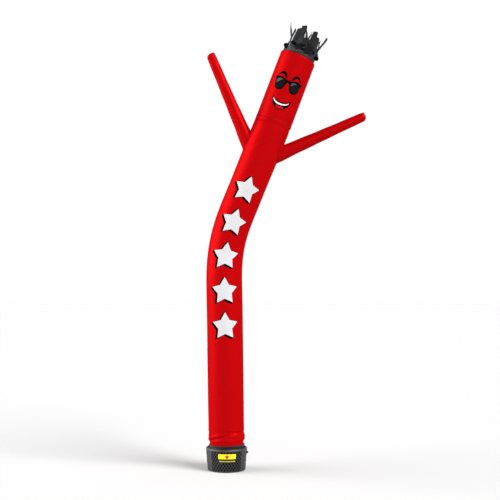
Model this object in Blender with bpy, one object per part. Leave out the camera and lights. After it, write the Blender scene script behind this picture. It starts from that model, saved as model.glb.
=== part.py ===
"""Inflatable air dancer: a red nylon tube man that leans to one side, with two raised arms and black streamer hair,
strapped round the air outlet of a squat black blower drum. Metres, +Z up, front towards -Y.

The origin is on the floor, under the middle of the drum. Lengths "up the tube" run along its centre line from the floor.
"""

import math

import bmesh
import bpy
from mathutils import Matrix, Vector

# Cloth and fits
CLOTH = 0.002
GAP = 0.0003
TUBE_SIDES = 32
ARM_SIDES = 16

# Blower drum, a turned shape: a side that widens upwards, a rounded shoulder and the air outlet
DRUM_FOOT_RADIUS = 0.236
DRUM_SIDE_RADIUS = 0.2565
DRUM_FOOT_EDGE = 0.014
DRUM_SIDES = 48
SHOULDER_LOW = 0.264
SHOULDER_HIGH = 0.288
SHOULDER_DEPTH = 0.026
SHOULDER_STEPS = 5
OUTLET_RADIUS = 0.2090
OUTLET_TOP = 0.322
OUTLET_EDGE = 0.005

# The tube's centre line: how far it leans to the right, in degrees, and where it bends
FOOT_LEAN = -0.9
SHOULDER_LEAN = 22.0
HEAD_LEAN = 20.7
UPRIGHT_UP_TO = 0.335
BEND_START = 2.25
BEND_END = 3.34
NECK = 4.460
NECK_BEND = 0.20
HEAD_TOP = 5.342
HEAD_TOP_TILT = 2.5
SPINE_STEP = 0.01

# The tube's radius at stations up the tube: (length up the tube, radius)
HEM_HEIGHT = 0.290
STRAPPED_RADIUS = 0.2145
TUBE_STATIONS = (
    (HEM_HEIGHT, STRAPPED_RADIUS),
    (0.323, STRAPPED_RADIUS),
    (0.350, 0.2175),
    (0.386, 0.2245),
    (0.440, 0.2245),
    (0.490, 0.2225),
    (0.560, 0.2230),
    (1.200, 0.2252),
    (2.300, 0.2252),
    (2.700, 0.2235),
    (3.400, 0.2270),
    (4.300, 0.2320),
    (4.800, 0.2300),
    (HEAD_TOP - 0.026, 0.2290),
    (HEAD_TOP - 0.012, 0.2265),
    (HEAD_TOP - 0.003, 0.2190),
    (HEAD_TOP, 0.2060),
)

# Creases pressed into the tube: angles round the tube in degrees (0 right, 90 front, 180 left), lengths up the tube
# at those angles, how deep the crease is pressed and how wide it is. A depth below 0 is a bulge
CREASES = (
    # from_angle, to_angle, from_height, to_height, depth, width
    (172, 70, 0.360, 0.456, 0.0130, 0.026),
    (98, -4, 0.474, 0.466, 0.0110, 0.024),
    (216, 148, 0.346, 0.343, 0.0080, 0.030),
    (92, 66, 0.412, 0.416, 0.0040, 0.020),
    (36, -40, 0.418, 0.422, -0.0060, 0.040),
    (20, -60, 0.352, 0.350, 0.0050, 0.028),
    (-20, -96, 0.478, 0.420, 0.0120, 0.032),
    (-70, -150, 0.372, 0.440, 0.0100, 0.030),
    (-110, -185, 0.515, 0.470, 0.0090, 0.034),
    (158, 44, 4.425, 4.418, 0.0065, 0.030),
    (20, -60, 4.440, 4.428, 0.0050, 0.032),
    (-90, -170, 4.420, 4.436, 0.0050, 0.032),
)

# Arms: tapered sleeves that leave the tube on both sides
ARMS = (
    # name, side, raised from the tube's own line in degrees, length up the tube where its centre line starts
    ("arm_left", -1, 45.1, 3.905),
    ("arm_right", 1, 43.8, 3.885),
)
ARM_LENGTH = 1.508
ARM_STATIONS = (
    # reach from the tube's centre line, radius
    (0.10, 0.1010),
    (0.30, 0.0925),
    (0.60, 0.0800),
    (0.90, 0.0705),
    (1.20, 0.0630),
    (ARM_LENGTH, 0.0570),
)
ARM_TIP_ROUNDING = 0.034
ARM_TIP_FULLNESS = 0.7
ARM_CLEAR_OF_AXIS = 0.12
ARMHOLE_SEAM = 0.008
ARM_RING_STEPS = 11

# Strap round the hem
STRAP_RADIUS = 0.2215
STRAP_THICKNESS = 0.0060
STRAP_LOW = 0.291
STRAP_HIGH = 0.321
STRAP_END_SPAN = (-14.0, 6.0)
STRAP_END_THICKNESS = 0.003
STRAP_END_MARGIN = 0.006

# Knob on the drum's right side, turned a little towards the front
KNOB_RADIUS = 0.0130
KNOB_LENGTH = 0.015
KNOB_HEIGHT = 0.223
KNOB_TURN = 8.0
KNOB_SIDES = 20

# Plate and strip on the drum's front, a little right of its middle: (middle and half width in degrees, lower and upper
# edge)
PLATE = (3.5, 25.3, 0.1705, 0.2300)
STRIP = (2.8, 23.4, 0.1350, 0.1490)
PLATE_THICKNESS = 0.0020
PLATE_CORNER = 0.006

# Black crown on the head's top and the heading tape of the streamers
CROWN_RADIUS = 0.2050
CROWN_HEIGHT = 0.046
CROWN_DOME = 0.014
TAPE_INNER_RADIUS = 0.2058
TAPE_OUTER_RADIUS = 0.2102
TAPE_LOW = 0.006
TAPE_HIGH = 0.050
STREAMER_ROOT = 0.034
STREAMER_THICKNESS = 0.0016
STREAMER_STEPS = 5

# Streamers, round the crown from the right over the front to the left and the back
STREAMERS = (
    # angle, width, length, lean_out, lean_side, curl, twist
    (16, 0.040, 0.235, 7, -2, 6, 12),
    (30, 0.012, 0.340, 17, 0, 1, 0),
    (43, 0.050, 0.272, 0, 0, -3, -8),
    (58, 0.054, 0.328, 0, 0, -3, 5),
    (73, 0.038, 0.250, -1, -3, -5, 12),
    (87, 0.034, 0.275, 1, 2, 4, -14),
    (104, 0.054, 0.346, 0, -1, -2, 4),
    (119, 0.050, 0.308, 1, 3, -3, -6),
    (136, 0.028, 0.280, -1, 1, -4, 16),
    (158, 0.034, 0.235, -14, 2, -8, 10),
    (172, 0.034, 0.350, 3, 1, 5, 14),
    (200, 0.036, 0.150, -9, 2, 10, -10),
    (216, 0.046, 0.175, 5, -6, -7, 12),
    (236, 0.050, 0.315, -1, -4, -5, -7),
    (251, 0.050, 0.270, 4, 3, 5, 9),
    (266, 0.052, 0.325, -2, -1, -6, -11),
    (281, 0.050, 0.255, 5, 2, 6, 10),
    (296, 0.052, 0.310, -1, -2, -5, -8),
    (311, 0.050, 0.265, 4, 2, 6, 12),
    (327, 0.046, 0.295, -2, 3, -6, -10),
    (341, 0.034, 0.240, 9, 3, 8, 16),
)

# Streamers folded over outwards, one on the left and one on the right
LOOPS = (
    # angle, width, half_depth, half_height, height
    (186, 0.040, 0.0140, 0.0190, 0.074),
    (-4, 0.044, 0.0170, 0.0290, 0.080),
)
LOOP_STEPS = 9
LOOP_TURN = 325

RED = (0.62, 0.004, 0.008, 1.0)
BLACK_CLOTH = (0.022, 0.022, 0.024, 1.0)
BLACK_DRUM = (0.018, 0.018, 0.021, 1.0)
BLACK_WEBBING = (0.030, 0.032, 0.036, 1.0)
BLACK_KNOB = (0.008, 0.008, 0.009, 1.0)
YELLOW = (0.93, 0.87, 0.02, 1.0)

FRONT = Vector((0, -1, 0))
UP = Vector((0, 0, 1))


def smooth(t):
    """0 below 0, 1 above 1, and an even S between them."""
    t = min(max(t, 0.0), 1.0)
    return t * t * (3 - 2 * t)


def lean(up):
    """How far the centre line leans to the right at this length up the tube, in radians."""
    foot = smooth((up - UPRIGHT_UP_TO) / 0.1)
    bend = smooth((up - BEND_START) / (BEND_END - BEND_START))
    neck = smooth((up - NECK + NECK_BEND) / (2 * NECK_BEND))
    degrees = FOOT_LEAN * foot + (SHOULDER_LEAN - FOOT_LEAN) * bend + (HEAD_LEAN - SHOULDER_LEAN) * neck
    return math.radians(degrees)


def spine(up):
    """The centre line's point at this length up the tube, its direction there and the direction across it."""
    steps = max(1, math.ceil(up / SPINE_STEP))
    step = up / steps
    point = Vector((0, 0, 0))
    for i in range(steps):
        angle = lean((i + 0.5) * step)
        point += Vector((math.sin(angle), 0, math.cos(angle))) * step
    angle = lean(up)
    return (
        point,
        Vector((math.sin(angle), 0, math.cos(angle))),
        Vector((math.cos(angle), 0, -math.sin(angle))),
    )


def station_radius(stations, place):
    """The radius at this place along a tube or an arm, eased from one station to the next."""
    for (low, low_radius), (high, high_radius) in zip(stations, stations[1:]):
        if place <= high:
            return low_radius + (high_radius - low_radius) * smooth((place - low) / (high - low))
    return stations[-1][1]


def crease_depth(up, angle):
    """How deep the creases press the cloth in at this length up the tube and angle in degrees."""
    total = 0.0
    for start, end, low, high, depth, width in CREASES:
        turned = angle
        while turned > max(start, end) + 90:
            turned -= 360
        while turned < min(start, end) - 90:
            turned += 360
        along = (turned - start) / (end - start)
        if not -0.15 < along < 1.15:
            continue
        fade = smooth((along + 0.15) / 0.35) * smooth((1.15 - along) / 0.35)
        off = (up - (low + (high - low) * along)) / width
        total += depth * fade * (math.exp(-4 * off * off) - 0.45 * math.exp(-4 * (off - 1.1) ** 2))
    return total


def tube_radius(up, angle):
    return station_radius(TUBE_STATIONS, up) - crease_depth(up, angle)


def head_tilt(up):
    """How far the head's rings are tilted to the right of the centre line, in radians."""
    return math.radians(HEAD_TOP_TILT) * smooth((up - NECK) / (HEAD_TOP - NECK))


def tilted(up):
    """The centre line's point, direction and cross direction, turned with the head's rings."""
    point, along, across = spine(up)
    turn = Matrix.Rotation(head_tilt(up), 3, "Y")
    return point, turn @ along, turn @ across


def tube_ring(up, inset=0.0, sides=TUBE_SIDES):
    """One ring of points round the tube's cloth, inset from its outer face."""
    point, _, across = tilted(up)
    ring = []
    for i in range(sides):
        angle = 360 * i / sides
        out = across * math.cos(math.radians(angle)) + FRONT * math.sin(math.radians(angle))
        ring.append(point + out * (tube_radius(up, angle) - inset))
    return ring


def levels(*stretches):
    """Lengths up the tube: each stretch is (from, to, how many steps)."""
    found = [stretches[0][0]]
    for low, high, count in stretches:
        found += [low + (high - low) * (i + 1) / count for i in range(count)]
    return found


def bridge(mesh, ring, other):
    count = len(ring)
    for i in range(count):
        mesh.faces.new((ring[i], ring[(i + 1) % count], other[(i + 1) % count], other[i]))


def loft(mesh, rings):
    """Joins rings of points, one after the other, and gives back their vertices."""
    made = [[mesh.verts.new(point) for point in ring] for ring in rings]
    for lower, upper in zip(made, made[1:]):
        bridge(mesh, lower, upper)
    return made


def material(name, colour, roughness):
    made = bpy.data.materials.new(name)
    made.use_nodes = True
    shader = made.node_tree.nodes["Principled BSDF"]
    shader.inputs["Base Color"].default_value = colour
    shader.inputs["Roughness"].default_value = roughness
    shader.inputs["Metallic"].default_value = 0.0
    return made


def finished(name, mesh, finish, sharp_degrees=40):
    """Makes the object of a bmesh, with its faces turned outwards and its round faces shaded smooth."""
    bmesh.ops.recalc_face_normals(mesh, faces=mesh.faces)
    data = bpy.data.meshes.new(name)
    mesh.to_mesh(data)
    mesh.free()
    data.shade_smooth()
    data.set_sharp_from_angle(angle=math.radians(sharp_degrees))
    if finish:
        data.materials.append(finish)
    made = bpy.data.objects.new(name, data)
    bpy.context.scene.collection.objects.link(made)
    return made


def cloth_shell(name, outer_rings, inner_rings, finish, closed_top=False):
    """A skin of cloth, open at its low end and, unless closed, at its top."""
    mesh = bmesh.new()
    outer = loft(mesh, outer_rings)
    inner = loft(mesh, inner_rings)
    bridge(mesh, outer[0], inner[0])
    if closed_top:
        mesh.faces.new(outer[-1])
        mesh.faces.new(inner[-1])
    else:
        bridge(mesh, outer[-1], inner[-1])
    return finished(name, mesh, finish)


def filled(name, rings, finish=None):
    """A solid through rings of points, capped at both ends."""
    mesh = bmesh.new()
    made = loft(mesh, rings)
    mesh.faces.new(made[0])
    mesh.faces.new(made[-1])
    return finished(name, mesh, finish)


def as_cutter(made):
    made.hide_render = True
    made.display_type = "WIRE"
    return made


def cut(made, cutter, operation="DIFFERENCE"):
    boolean = made.modifiers.new(cutter.name, "BOOLEAN")
    boolean.operation = operation
    boolean.object = cutter


def turned(name, profile, sides, finish):
    """A solid of revolution about the Z axis from (radius, height) points. A radius of 0 closes it."""
    mesh = bmesh.new()
    rings = []
    for radius, height in profile:
        if radius == 0:
            rings.append([mesh.verts.new((0, 0, height))])
            continue
        angles = [2 * math.pi * i / sides for i in range(sides)]
        rings.append([mesh.verts.new((radius * math.cos(a), radius * math.sin(a), height)) for a in angles])
    closed = len(rings[0]) > 1
    for ring, other in zip(rings, rings[1:] + (rings[:1] if closed else [])):
        if len(ring) > 1 and len(other) > 1:
            bridge(mesh, ring, other)
            continue
        tip, loop = (ring[0], other) if len(ring) == 1 else (other[0], ring)
        for i in range(sides):
            mesh.faces.new((tip, loop[i], loop[(i + 1) % sides]))
    return finished(name, mesh, finish)


def drum_radius(height):
    return DRUM_FOOT_RADIUS + (DRUM_SIDE_RADIUS - DRUM_FOOT_RADIUS) * height / SHOULDER_LOW


def make_drum():
    """The blower's housing: a tapered drum with a rounded shoulder, and the air outlet that stands on it."""
    shoulder = []
    for i in range(SHOULDER_STEPS + 1):
        turn = math.pi / 2 * i / SHOULDER_STEPS
        drawn_in = SHOULDER_DEPTH * (1 - math.cos(turn))
        shoulder.append((DRUM_SIDE_RADIUS - drawn_in, SHOULDER_LOW + (SHOULDER_HIGH - SHOULDER_LOW) * math.sin(turn)))
    profile = (
        (0, 0),
        (DRUM_FOOT_RADIUS - DRUM_FOOT_EDGE, 0),
        (DRUM_FOOT_RADIUS - 0.3 * DRUM_FOOT_EDGE, 0.3 * DRUM_FOOT_EDGE),
        (drum_radius(DRUM_FOOT_EDGE), DRUM_FOOT_EDGE),
        *shoulder,
        (OUTLET_RADIUS, SHOULDER_HIGH),
        (OUTLET_RADIUS, OUTLET_TOP - OUTLET_EDGE),
        (OUTLET_RADIUS - OUTLET_EDGE, OUTLET_TOP),
        (0, OUTLET_TOP),
    )
    turned("blower_drum", profile, DRUM_SIDES, material("drum black", BLACK_DRUM, 0.42))


def make_knob(finish):
    """A small round knob on the right of the drum, just under its shoulder."""
    mesh = bmesh.new()
    bmesh.ops.create_cone(
        mesh,
        cap_ends=True,
        segments=KNOB_SIDES,
        radius1=KNOB_RADIUS,
        radius2=0.8 * KNOB_RADIUS,
        depth=KNOB_LENGTH,
    )
    made = finished("rim_knob", mesh, finish)
    reach = drum_radius(KNOB_HEIGHT + KNOB_RADIUS) + GAP + KNOB_LENGTH / 2
    turn = math.radians(-KNOB_TURN)
    made.location = (reach * math.cos(turn), reach * math.sin(turn), KNOB_HEIGHT)
    made.rotation_euler = (0, math.radians(90), turn)


def make_plate(name, shape, finish):
    """A thin plate bent round the drum's front, with clipped corners."""
    turn, half_degrees, low, high = shape
    steps = 12
    rows = (
        (low, PLATE_CORNER),
        (low + PLATE_CORNER, 0.0),
        (high - PLATE_CORNER, 0.0),
        (high, PLATE_CORNER),
    )
    mesh = bmesh.new()
    skins = []
    for lift in (GAP, GAP + PLATE_THICKNESS):
        skin = []
        for height, drawn_in in rows:
            radius = drum_radius(height) + lift
            half = math.radians(half_degrees) - drawn_in / radius
            middle = math.radians(turn)
            angles = [middle + half * (2 * i / steps - 1) for i in range(steps + 1)]
            skin.append([mesh.verts.new((radius * math.sin(a), -radius * math.cos(a), height)) for a in angles])
        for row, other in zip(skin, skin[1:]):
            for i in range(steps):
                mesh.faces.new((row[i], row[i + 1], other[i + 1], other[i]))
        skins.append(skin)
    edges = []
    for skin in skins:
        left = [row[0] for row in skin]
        right = [row[-1] for row in skin]
        edges.append(skin[0] + right[1:-1] + skin[-1][::-1] + left[-2:0:-1])
    bridge(mesh, edges[0], edges[1])
    finished(name, mesh, finish)


def make_strap(finish):
    """The strap that draws the hem in on the outlet, with its loose end stitched down on the right."""
    inner = STRAP_RADIUS - STRAP_THICKNESS
    turned(
        "hem_strap",
        (
            (inner, STRAP_LOW),
            (STRAP_RADIUS, STRAP_LOW),
            (STRAP_RADIUS, STRAP_HIGH),
            (inner, STRAP_HIGH),
        ),
        DRUM_SIDES,
        finish,
    )
    steps = 6
    low_degrees, high_degrees = STRAP_END_SPAN
    inside = STRAP_RADIUS + GAP
    outside = inside + STRAP_END_THICKNESS
    low = STRAP_LOW + STRAP_END_MARGIN
    high = STRAP_HIGH - STRAP_END_MARGIN
    sections = []
    for i in range(steps + 1):
        angle = math.radians(low_degrees + (high_degrees - low_degrees) * i / steps)
        out = Vector((math.cos(angle), math.sin(angle), 0))
        corners = ((inside, low), (outside, low), (outside, high), (inside, high))
        sections.append([out * radius + UP * height for radius, height in corners])
    filled("strap_end", sections, finish)


def arm_ring(side, raised, shoulder, reach, radius, inwards=0.0):
    """A ring round an arm's centre line, which starts on the tube's own and rises to one side. inwards shifts it
    towards the head."""
    start, along, across = spine(shoulder)
    turn = Matrix.Rotation(math.radians(raised) * side, 3, "Y")
    centre = start + turn @ along * reach - turn @ across * side * inwards
    ring = []
    for i in range(ARM_SIDES):
        angle = 2 * math.pi * i / ARM_SIDES
        ring.append(centre + (turn @ across * math.cos(angle) + FRONT * math.sin(angle)) * radius)
    return ring


def arm_rings(side, raised, shoulder, inset):
    """Rings from inside the tube out to the arm's closed tip, which rounds off outwards and is fuller inwards."""
    rounding_starts = ARM_LENGTH - ARM_TIP_ROUNDING
    step = (rounding_starts - ARM_CLEAR_OF_AXIS) / ARM_RING_STEPS
    rings = []
    for i in range(ARM_RING_STEPS + 1):
        reach = ARM_CLEAR_OF_AXIS + step * i
        radius = station_radius(ARM_STATIONS, reach) - inset
        rings.append(arm_ring(side, raised, shoulder, reach, radius))
    tip_radius = station_radius(ARM_STATIONS, rounding_starts)
    for share, narrowed in ((0.45, 0.93), (0.82, 0.76), (1.0, 0.50)):
        reach = rounding_starts + share * ARM_TIP_ROUNDING - inset
        inwards = ARM_TIP_FULLNESS * tip_radius * (1 - narrowed)
        rings.append(arm_ring(side, raised, shoulder, reach, tip_radius * narrowed - inset, inwards))
    return rings


def make_arm(name, side, raised, shoulder, finish):
    """A tapered sleeve, open at its root, where it is sewn to the tube's armhole."""
    outer = arm_rings(side, raised, shoulder, 0.0)
    inner = arm_rings(side, raised, shoulder, CLOTH)
    arm = cloth_shell(name, outer, inner, finish, closed_top=True)
    chest = levels((shoulder - 0.5, shoulder + 0.5, 12))
    body = as_cutter(filled(name + "_seam_cutter", [tube_ring(up, -GAP) for up in chest]))
    cut(arm, body)


def cut_armhole(body, name, side, raised, shoulder):
    """Opens the tube's wall behind an arm, a seam's width inside the arm's own skin."""
    rings = []
    for reach in (0.0, 0.15, 0.30, 0.45):
        inside = station_radius(ARM_STATIONS, reach) - CLOTH - ARMHOLE_SEAM
        rings.append(arm_ring(side, raised, shoulder, reach, inside))
    cut(body, as_cutter(filled(name + "_armhole_cutter", rings)))


def make_tube(finish):
    """The body and the head: two sleeves of cloth that meet in the seam at the neck."""
    body_levels = levels(
        (HEM_HEIGHT, 0.323, 2),
        (0.323, 0.583, 20),
        (0.583, 2.250, 7),
        (2.250, 3.340, 10),
        (3.340, 4.370, 7),
        (4.370, NECK - GAP / 2, 6),
    )
    head_levels = levels(
        (NECK + GAP / 2, 4.520, 2),
        (4.520, HEAD_TOP - 0.030, 6),
        (HEAD_TOP - 0.030, HEAD_TOP, 5),
    )
    made = []
    for name, stretch in (("tube_body", body_levels), ("tube_head", head_levels)):
        outer = [tube_ring(up) for up in stretch]
        inner = [tube_ring(up, CLOTH) for up in stretch]
        made.append(cloth_shell(name, outer, inner, finish))
    return made


def crown_ring(above, radius):
    """A ring round the head's own line, this far above the head's cloth."""
    point, along, across = tilted(HEAD_TOP)
    ring = []
    for i in range(TUBE_SIDES):
        angle = 2 * math.pi * i / TUBE_SIDES
        out = across * math.cos(angle) + FRONT * math.sin(angle)
        ring.append(point + along * above + out * radius)
    return ring


def make_crown(finish):
    """The black cap that closes the head: a short wall and a low dome, open below."""
    outline = (
        (GAP, CROWN_RADIUS),
        (CROWN_HEIGHT - 0.006, CROWN_RADIUS),
        (CROWN_HEIGHT, CROWN_RADIUS - 0.006),
        (CROWN_HEIGHT + 0.6 * CROWN_DOME, 0.55 * CROWN_RADIUS),
        (CROWN_HEIGHT + CROWN_DOME, 0.12 * CROWN_RADIUS),
    )
    outer = [crown_ring(above, radius) for above, radius in outline]
    inner = [crown_ring(above - (CLOTH if above > GAP else 0), radius - CLOTH) for above, radius in outline]
    cloth_shell("crown", outer, inner, finish, closed_top=True)


def streamer_sections(row):
    """Four-cornered sections of one streamer, from its root inside the heading tape to its cut end."""
    angle, width, length, lean_out, lean_side, curl, twist = row
    point, crown_along, crown_across = tilted(HEAD_TOP)
    turn = math.radians(angle)
    crown_out = crown_across * math.cos(turn) + FRONT * math.sin(turn)
    centre = point + crown_along * STREAMER_ROOT + crown_out * (TAPE_INNER_RADIUS + TAPE_OUTER_RADIUS) / 2
    _, along, across = spine(HEAD_TOP)
    out = across * math.cos(turn) + FRONT * math.sin(turn)
    sideways = along.cross(out)
    free_length = length - STREAMER_ROOT
    sections = []
    for i in range(STREAMER_STEPS + 1):
        share = max(0, i - 1) / (STREAMER_STEPS - 1)
        tilt_out = math.radians((lean_out + curl * share) * min(1, i))
        tilt_side = math.radians(lean_side * min(1, i))
        heading = (along + out * math.tan(tilt_out) + sideways * math.tan(tilt_side)).normalized()
        if i == 1:
            centre = centre + along * (TAPE_HIGH - STREAMER_ROOT - 0.006)
        elif i > 1:
            centre = centre + heading * free_length / (STREAMER_STEPS - 1)
        spin = Matrix.Rotation(math.radians(twist) * share, 3, heading)
        wide = spin @ (sideways - heading * sideways.dot(heading)).normalized()
        thick = heading.cross(wide)
        half_wide = wide * width / 2
        half_thick = thick * STREAMER_THICKNESS / 2
        sections.append(
            [
                centre - half_wide - half_thick,
                centre + half_wide - half_thick,
                centre + half_wide + half_thick,
                centre - half_wide + half_thick,
            ]
        )
    return sections


def loop_sections(row):
    """Sections of a folded streamer: up from the tape, out over the top and down again."""
    angle, width, half_depth, half_height, height = row
    point, along, across = tilted(HEAD_TOP)
    turn = math.radians(angle)
    out = across * math.cos(turn) + FRONT * math.sin(turn)
    half_wide = along.cross(out) * width / 2
    root = point + out * (TAPE_INNER_RADIUS + TAPE_OUTER_RADIUS) / 2
    places = [(root + along * STREAMER_ROOT, -out)]
    for i in range(LOOP_STEPS + 1):
        swing = math.radians(180 - LOOP_TURN * i / LOOP_STEPS)
        outwards = half_depth * (1 + math.cos(swing))
        place = root + out * outwards + along * (height + half_height * math.sin(swing))
        outward = out * math.cos(swing) / half_depth + along * math.sin(swing) / half_height
        places.append((place, outward.normalized()))
    sections = []
    for place, outward in places:
        half_thick = outward * STREAMER_THICKNESS / 2
        sections.append(
            [
                place - half_wide - half_thick,
                place + half_wide - half_thick,
                place + half_wide + half_thick,
                place - half_wide + half_thick,
            ]
        )
    return sections


def make_streamers(finish):
    """The hair: strips of black cloth whose roots are sewn into one heading tape round the crown."""
    mesh = bmesh.new()
    walls = (
        (TAPE_LOW, TAPE_INNER_RADIUS),
        (TAPE_LOW, TAPE_OUTER_RADIUS),
        (TAPE_HIGH, TAPE_OUTER_RADIUS),
        (TAPE_HIGH, TAPE_INNER_RADIUS),
    )
    rings = loft(mesh, [crown_ring(above, radius) for above, radius in walls])
    bridge(mesh, rings[-1], rings[0])
    tape = finished("streamer_hair", mesh, finish)
    strips = bmesh.new()
    for strip in [streamer_sections(row) for row in STREAMERS] + [loop_sections(row) for row in LOOPS]:
        sections = loft(strips, strip)
        strips.faces.new(sections[0])
        strips.faces.new(sections[-1])
    cut(tape, as_cutter(finished("streamer_strips", strips, None)), "UNION")


def main():
    for old in list(bpy.data.objects):
        bpy.data.objects.remove(old)
    red = material("red nylon", RED, 0.5)
    black = material("black nylon", BLACK_CLOTH, 0.6)
    webbing = material("black webbing", BLACK_WEBBING, 0.65)
    yellow = material("yellow plate", YELLOW, 0.45)
    make_drum()
    make_knob(material("black knob", BLACK_KNOB, 0.4))
    make_plate("front_plate", PLATE, yellow)
    make_plate("front_strip", STRIP, yellow)
    make_strap(webbing)
    body, _ = make_tube(red)
    for name, side, raised, shoulder in ARMS:
        make_arm(name, side, raised, shoulder, red)
        cut_armhole(body, name, side, raised, shoulder)
    make_crown(black)
    make_streamers(black)


main()
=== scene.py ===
"""The dressed model of an inflatable air dancer: a leaning red tube man of nylon, strapped on to
its black blower drum.

Metres, +Z up, front towards -Y. The origin is on the floor, under the middle of the drum, as in the CAD.
"""

import math

import bmesh
import bpy
from mathutils import Matrix, Vector, geometry, noise


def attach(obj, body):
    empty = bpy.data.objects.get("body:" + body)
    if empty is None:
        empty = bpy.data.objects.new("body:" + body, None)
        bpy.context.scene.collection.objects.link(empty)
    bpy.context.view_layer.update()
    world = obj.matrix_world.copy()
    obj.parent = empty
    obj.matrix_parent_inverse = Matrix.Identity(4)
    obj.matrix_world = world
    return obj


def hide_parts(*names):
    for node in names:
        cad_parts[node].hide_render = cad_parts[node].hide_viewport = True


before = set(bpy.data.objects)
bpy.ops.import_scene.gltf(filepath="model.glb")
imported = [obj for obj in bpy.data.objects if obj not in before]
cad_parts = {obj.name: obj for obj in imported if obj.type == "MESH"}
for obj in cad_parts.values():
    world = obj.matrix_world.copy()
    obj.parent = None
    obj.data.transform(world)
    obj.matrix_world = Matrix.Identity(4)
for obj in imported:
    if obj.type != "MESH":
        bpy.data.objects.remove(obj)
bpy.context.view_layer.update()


# --- Blower drum ---
# The blower's housing is one moulding of black plastic with a fine matt texture: a squat drum that widens
# upwards to a rounded lip, with two deep panels for the air net and two shallow ones between them. Inside
# the lip runs a narrow well, and the air outlet stands in it, inside the cloth.

FOOT_RADIUS = 0.236
SIDE_RADIUS = 0.2565
FOOT_EDGE = 0.014
SHOULDER_LOW = 0.264
SHOULDER_HIGH = 0.288
SHOULDER_DEPTH = 0.026
SHOULDER_TURN = 42  # degrees of its round edge
OUTLET_RADIUS = 0.2090
OUTLET_TOP = 0.322
WELL_HEIGHT = 0.268
PANEL_LOW = 0.0150
PANEL_HIGH = 0.2580
PANEL_DEPTH = 0.0055
PANELS = (
    # middle, half width, both in degrees, depth: open in front and behind, and only pressed in at the sides
    (0, 47.5, PANEL_DEPTH),
    (180, 47.5, PANEL_DEPTH),
    (90, 37.0, 0.0016),
    (270, 37.0, 0.0016),
)
FRONT = Vector((0, -1, 0))
UP = Vector((0, 0, 1))


def finish(name, colour, roughness, **plain):
    """A new material, with what is the same all over it set on the shader: (material, node tree, shader)."""
    made = bpy.data.materials.new(name)
    made.use_nodes = True
    shader = made.node_tree.nodes["Principled BSDF"]
    shader.inputs["Base Color"].default_value = (*colour, 1.0)
    shader.inputs["Roughness"].default_value = roughness
    for socket, value in plain.items():
        shader.inputs[socket.replace("_", " ")].default_value = value
    return made, made.node_tree, shader


def node(tree, kind, *sources, **settings):
    """Adds one shader node. Its inputs come in order: sockets are linked, values are set, None is left."""
    made = tree.nodes.new("ShaderNode" + kind)
    for setting, value in settings.items():
        setattr(made, setting, value)
    for socket, source in zip(made.inputs, sources):
        if isinstance(source, bpy.types.NodeSocket):
            tree.links.new(source, socket)
        elif source is not None:
            socket.default_value = source
    return made.outputs[0]


def clouds(tree, scale, detail, roughness, place=None):
    """Cloudy noise, over the piece itself or over its flat cloth."""
    if place is None:
        place = node(tree, "NewGeometry")
    return node(tree, "TexNoise", place, None, scale, detail, roughness)


def calc(tree, operation, *values):
    return node(tree, "Math", *values, operation=operation)


def between(tree, share, low, high):
    """A colour that goes from low to high as share goes from 0 to 1."""
    return node(tree, "MixRGB", share, (*low, 1.0), (*high, 1.0))


def tint(tree, shader, share, low, high):
    """Lets the shader's colour go from low to high as share goes from 0 to 1."""
    tree.links.new(between(tree, share, low, high), shader.inputs["Base Color"])


def roughen(tree, shader, cloud, low, high):
    """Lets the shader's roughness go from low to high with a cloudy noise."""
    tree.links.new(node(tree, "MapRange", cloud, 0.3, 0.7, low, high), shader.inputs["Roughness"])


def embossed(tree, shader, height, strength, distance):
    """Gives the shader a bump from this height."""
    bump = tree.nodes.new("ShaderNodeBump")
    bump.inputs["Strength"].default_value = strength
    bump.inputs["Distance"].default_value = distance
    tree.links.new(height, bump.inputs["Height"])
    tree.links.new(bump.outputs["Normal"], shader.inputs["Normal"])


def fitted(name, mesh, material, slot, *nodes, sharp=None):
    """Makes a piece of the object from a bmesh. It rides on the frame and stands for the CAD nodes named."""
    data = bpy.data.meshes.new(name)
    mesh.to_mesh(data)
    mesh.free()
    data.shade_smooth()
    if sharp:
        data.set_sharp_from_angle(angle=math.radians(sharp))
    data.materials.append(material)
    piece = bpy.data.objects.new(name, data)
    bpy.context.scene.collection.objects.link(piece)
    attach(piece, "root")
    if nodes:
        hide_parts(*nodes)
    return piece


def moulded_plastic(name, colour, roughness, grain, worn, gloss):
    """Moulded plastic: a fine grain pressed into it, cloudy gloss and rubbed, paler high spots."""
    made, tree, shader = finish(name, colour, roughness, Specular_IOR_Level=gloss)
    stretched = node(tree, "VectorMath", node(tree, "NewGeometry"), (1, 1, 6), operation="MULTIPLY")
    scuff = clouds(tree, 31.0, 5.0, 0.7, stretched)
    tint(tree, shader, node(tree, "MapRange", scuff, 0.60, 0.78, 0.0, 0.55), colour, worn)
    roughen(tree, shader, clouds(tree, 9.0, 4.0, 0.6), roughness - 0.05, roughness + 0.09)
    embossed(tree, shader, clouds(tree, 1 / grain, 3.0, 0.6), 0.35, 0.0006)
    return made


def skinned(mesh, rings, around=True, end_to_end=False, flat=None, keep=None):
    """Joins rings of points with faces: round each ring or only along it, and to the first ring again or not.
    For cloth, flat gives the place on the flat cloth of point i of ring j. keep tells which faces stay."""
    cloth = (mesh.loops.layers.uv.get("cloth") or mesh.loops.layers.uv.new("cloth")) if flat else None
    rings = [[mesh.verts.new(point) for point in ring] for ring in rings]
    count = len(rings[0])
    for j, (ring, other) in enumerate(zip(rings, rings[1:] + rings[:1] * end_to_end)):
        for i in range(count if around else count - 1):
            k = (i + 1) % count
            if not flat:
                mesh.faces.new((ring[i], ring[k], other[k], other[i]))
                continue
            corners = (ring[i], other[i], other[k], ring[k])
            if keep and not keep(corners):
                continue
            places = ((i, j), (i, j + 1), (i + 1, j + 1), (i + 1, j))
            for loop, place in zip(mesh.faces.new(corners).loops, places):
                loop[cloth].uv = flat(*place)
    return rings


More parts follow.
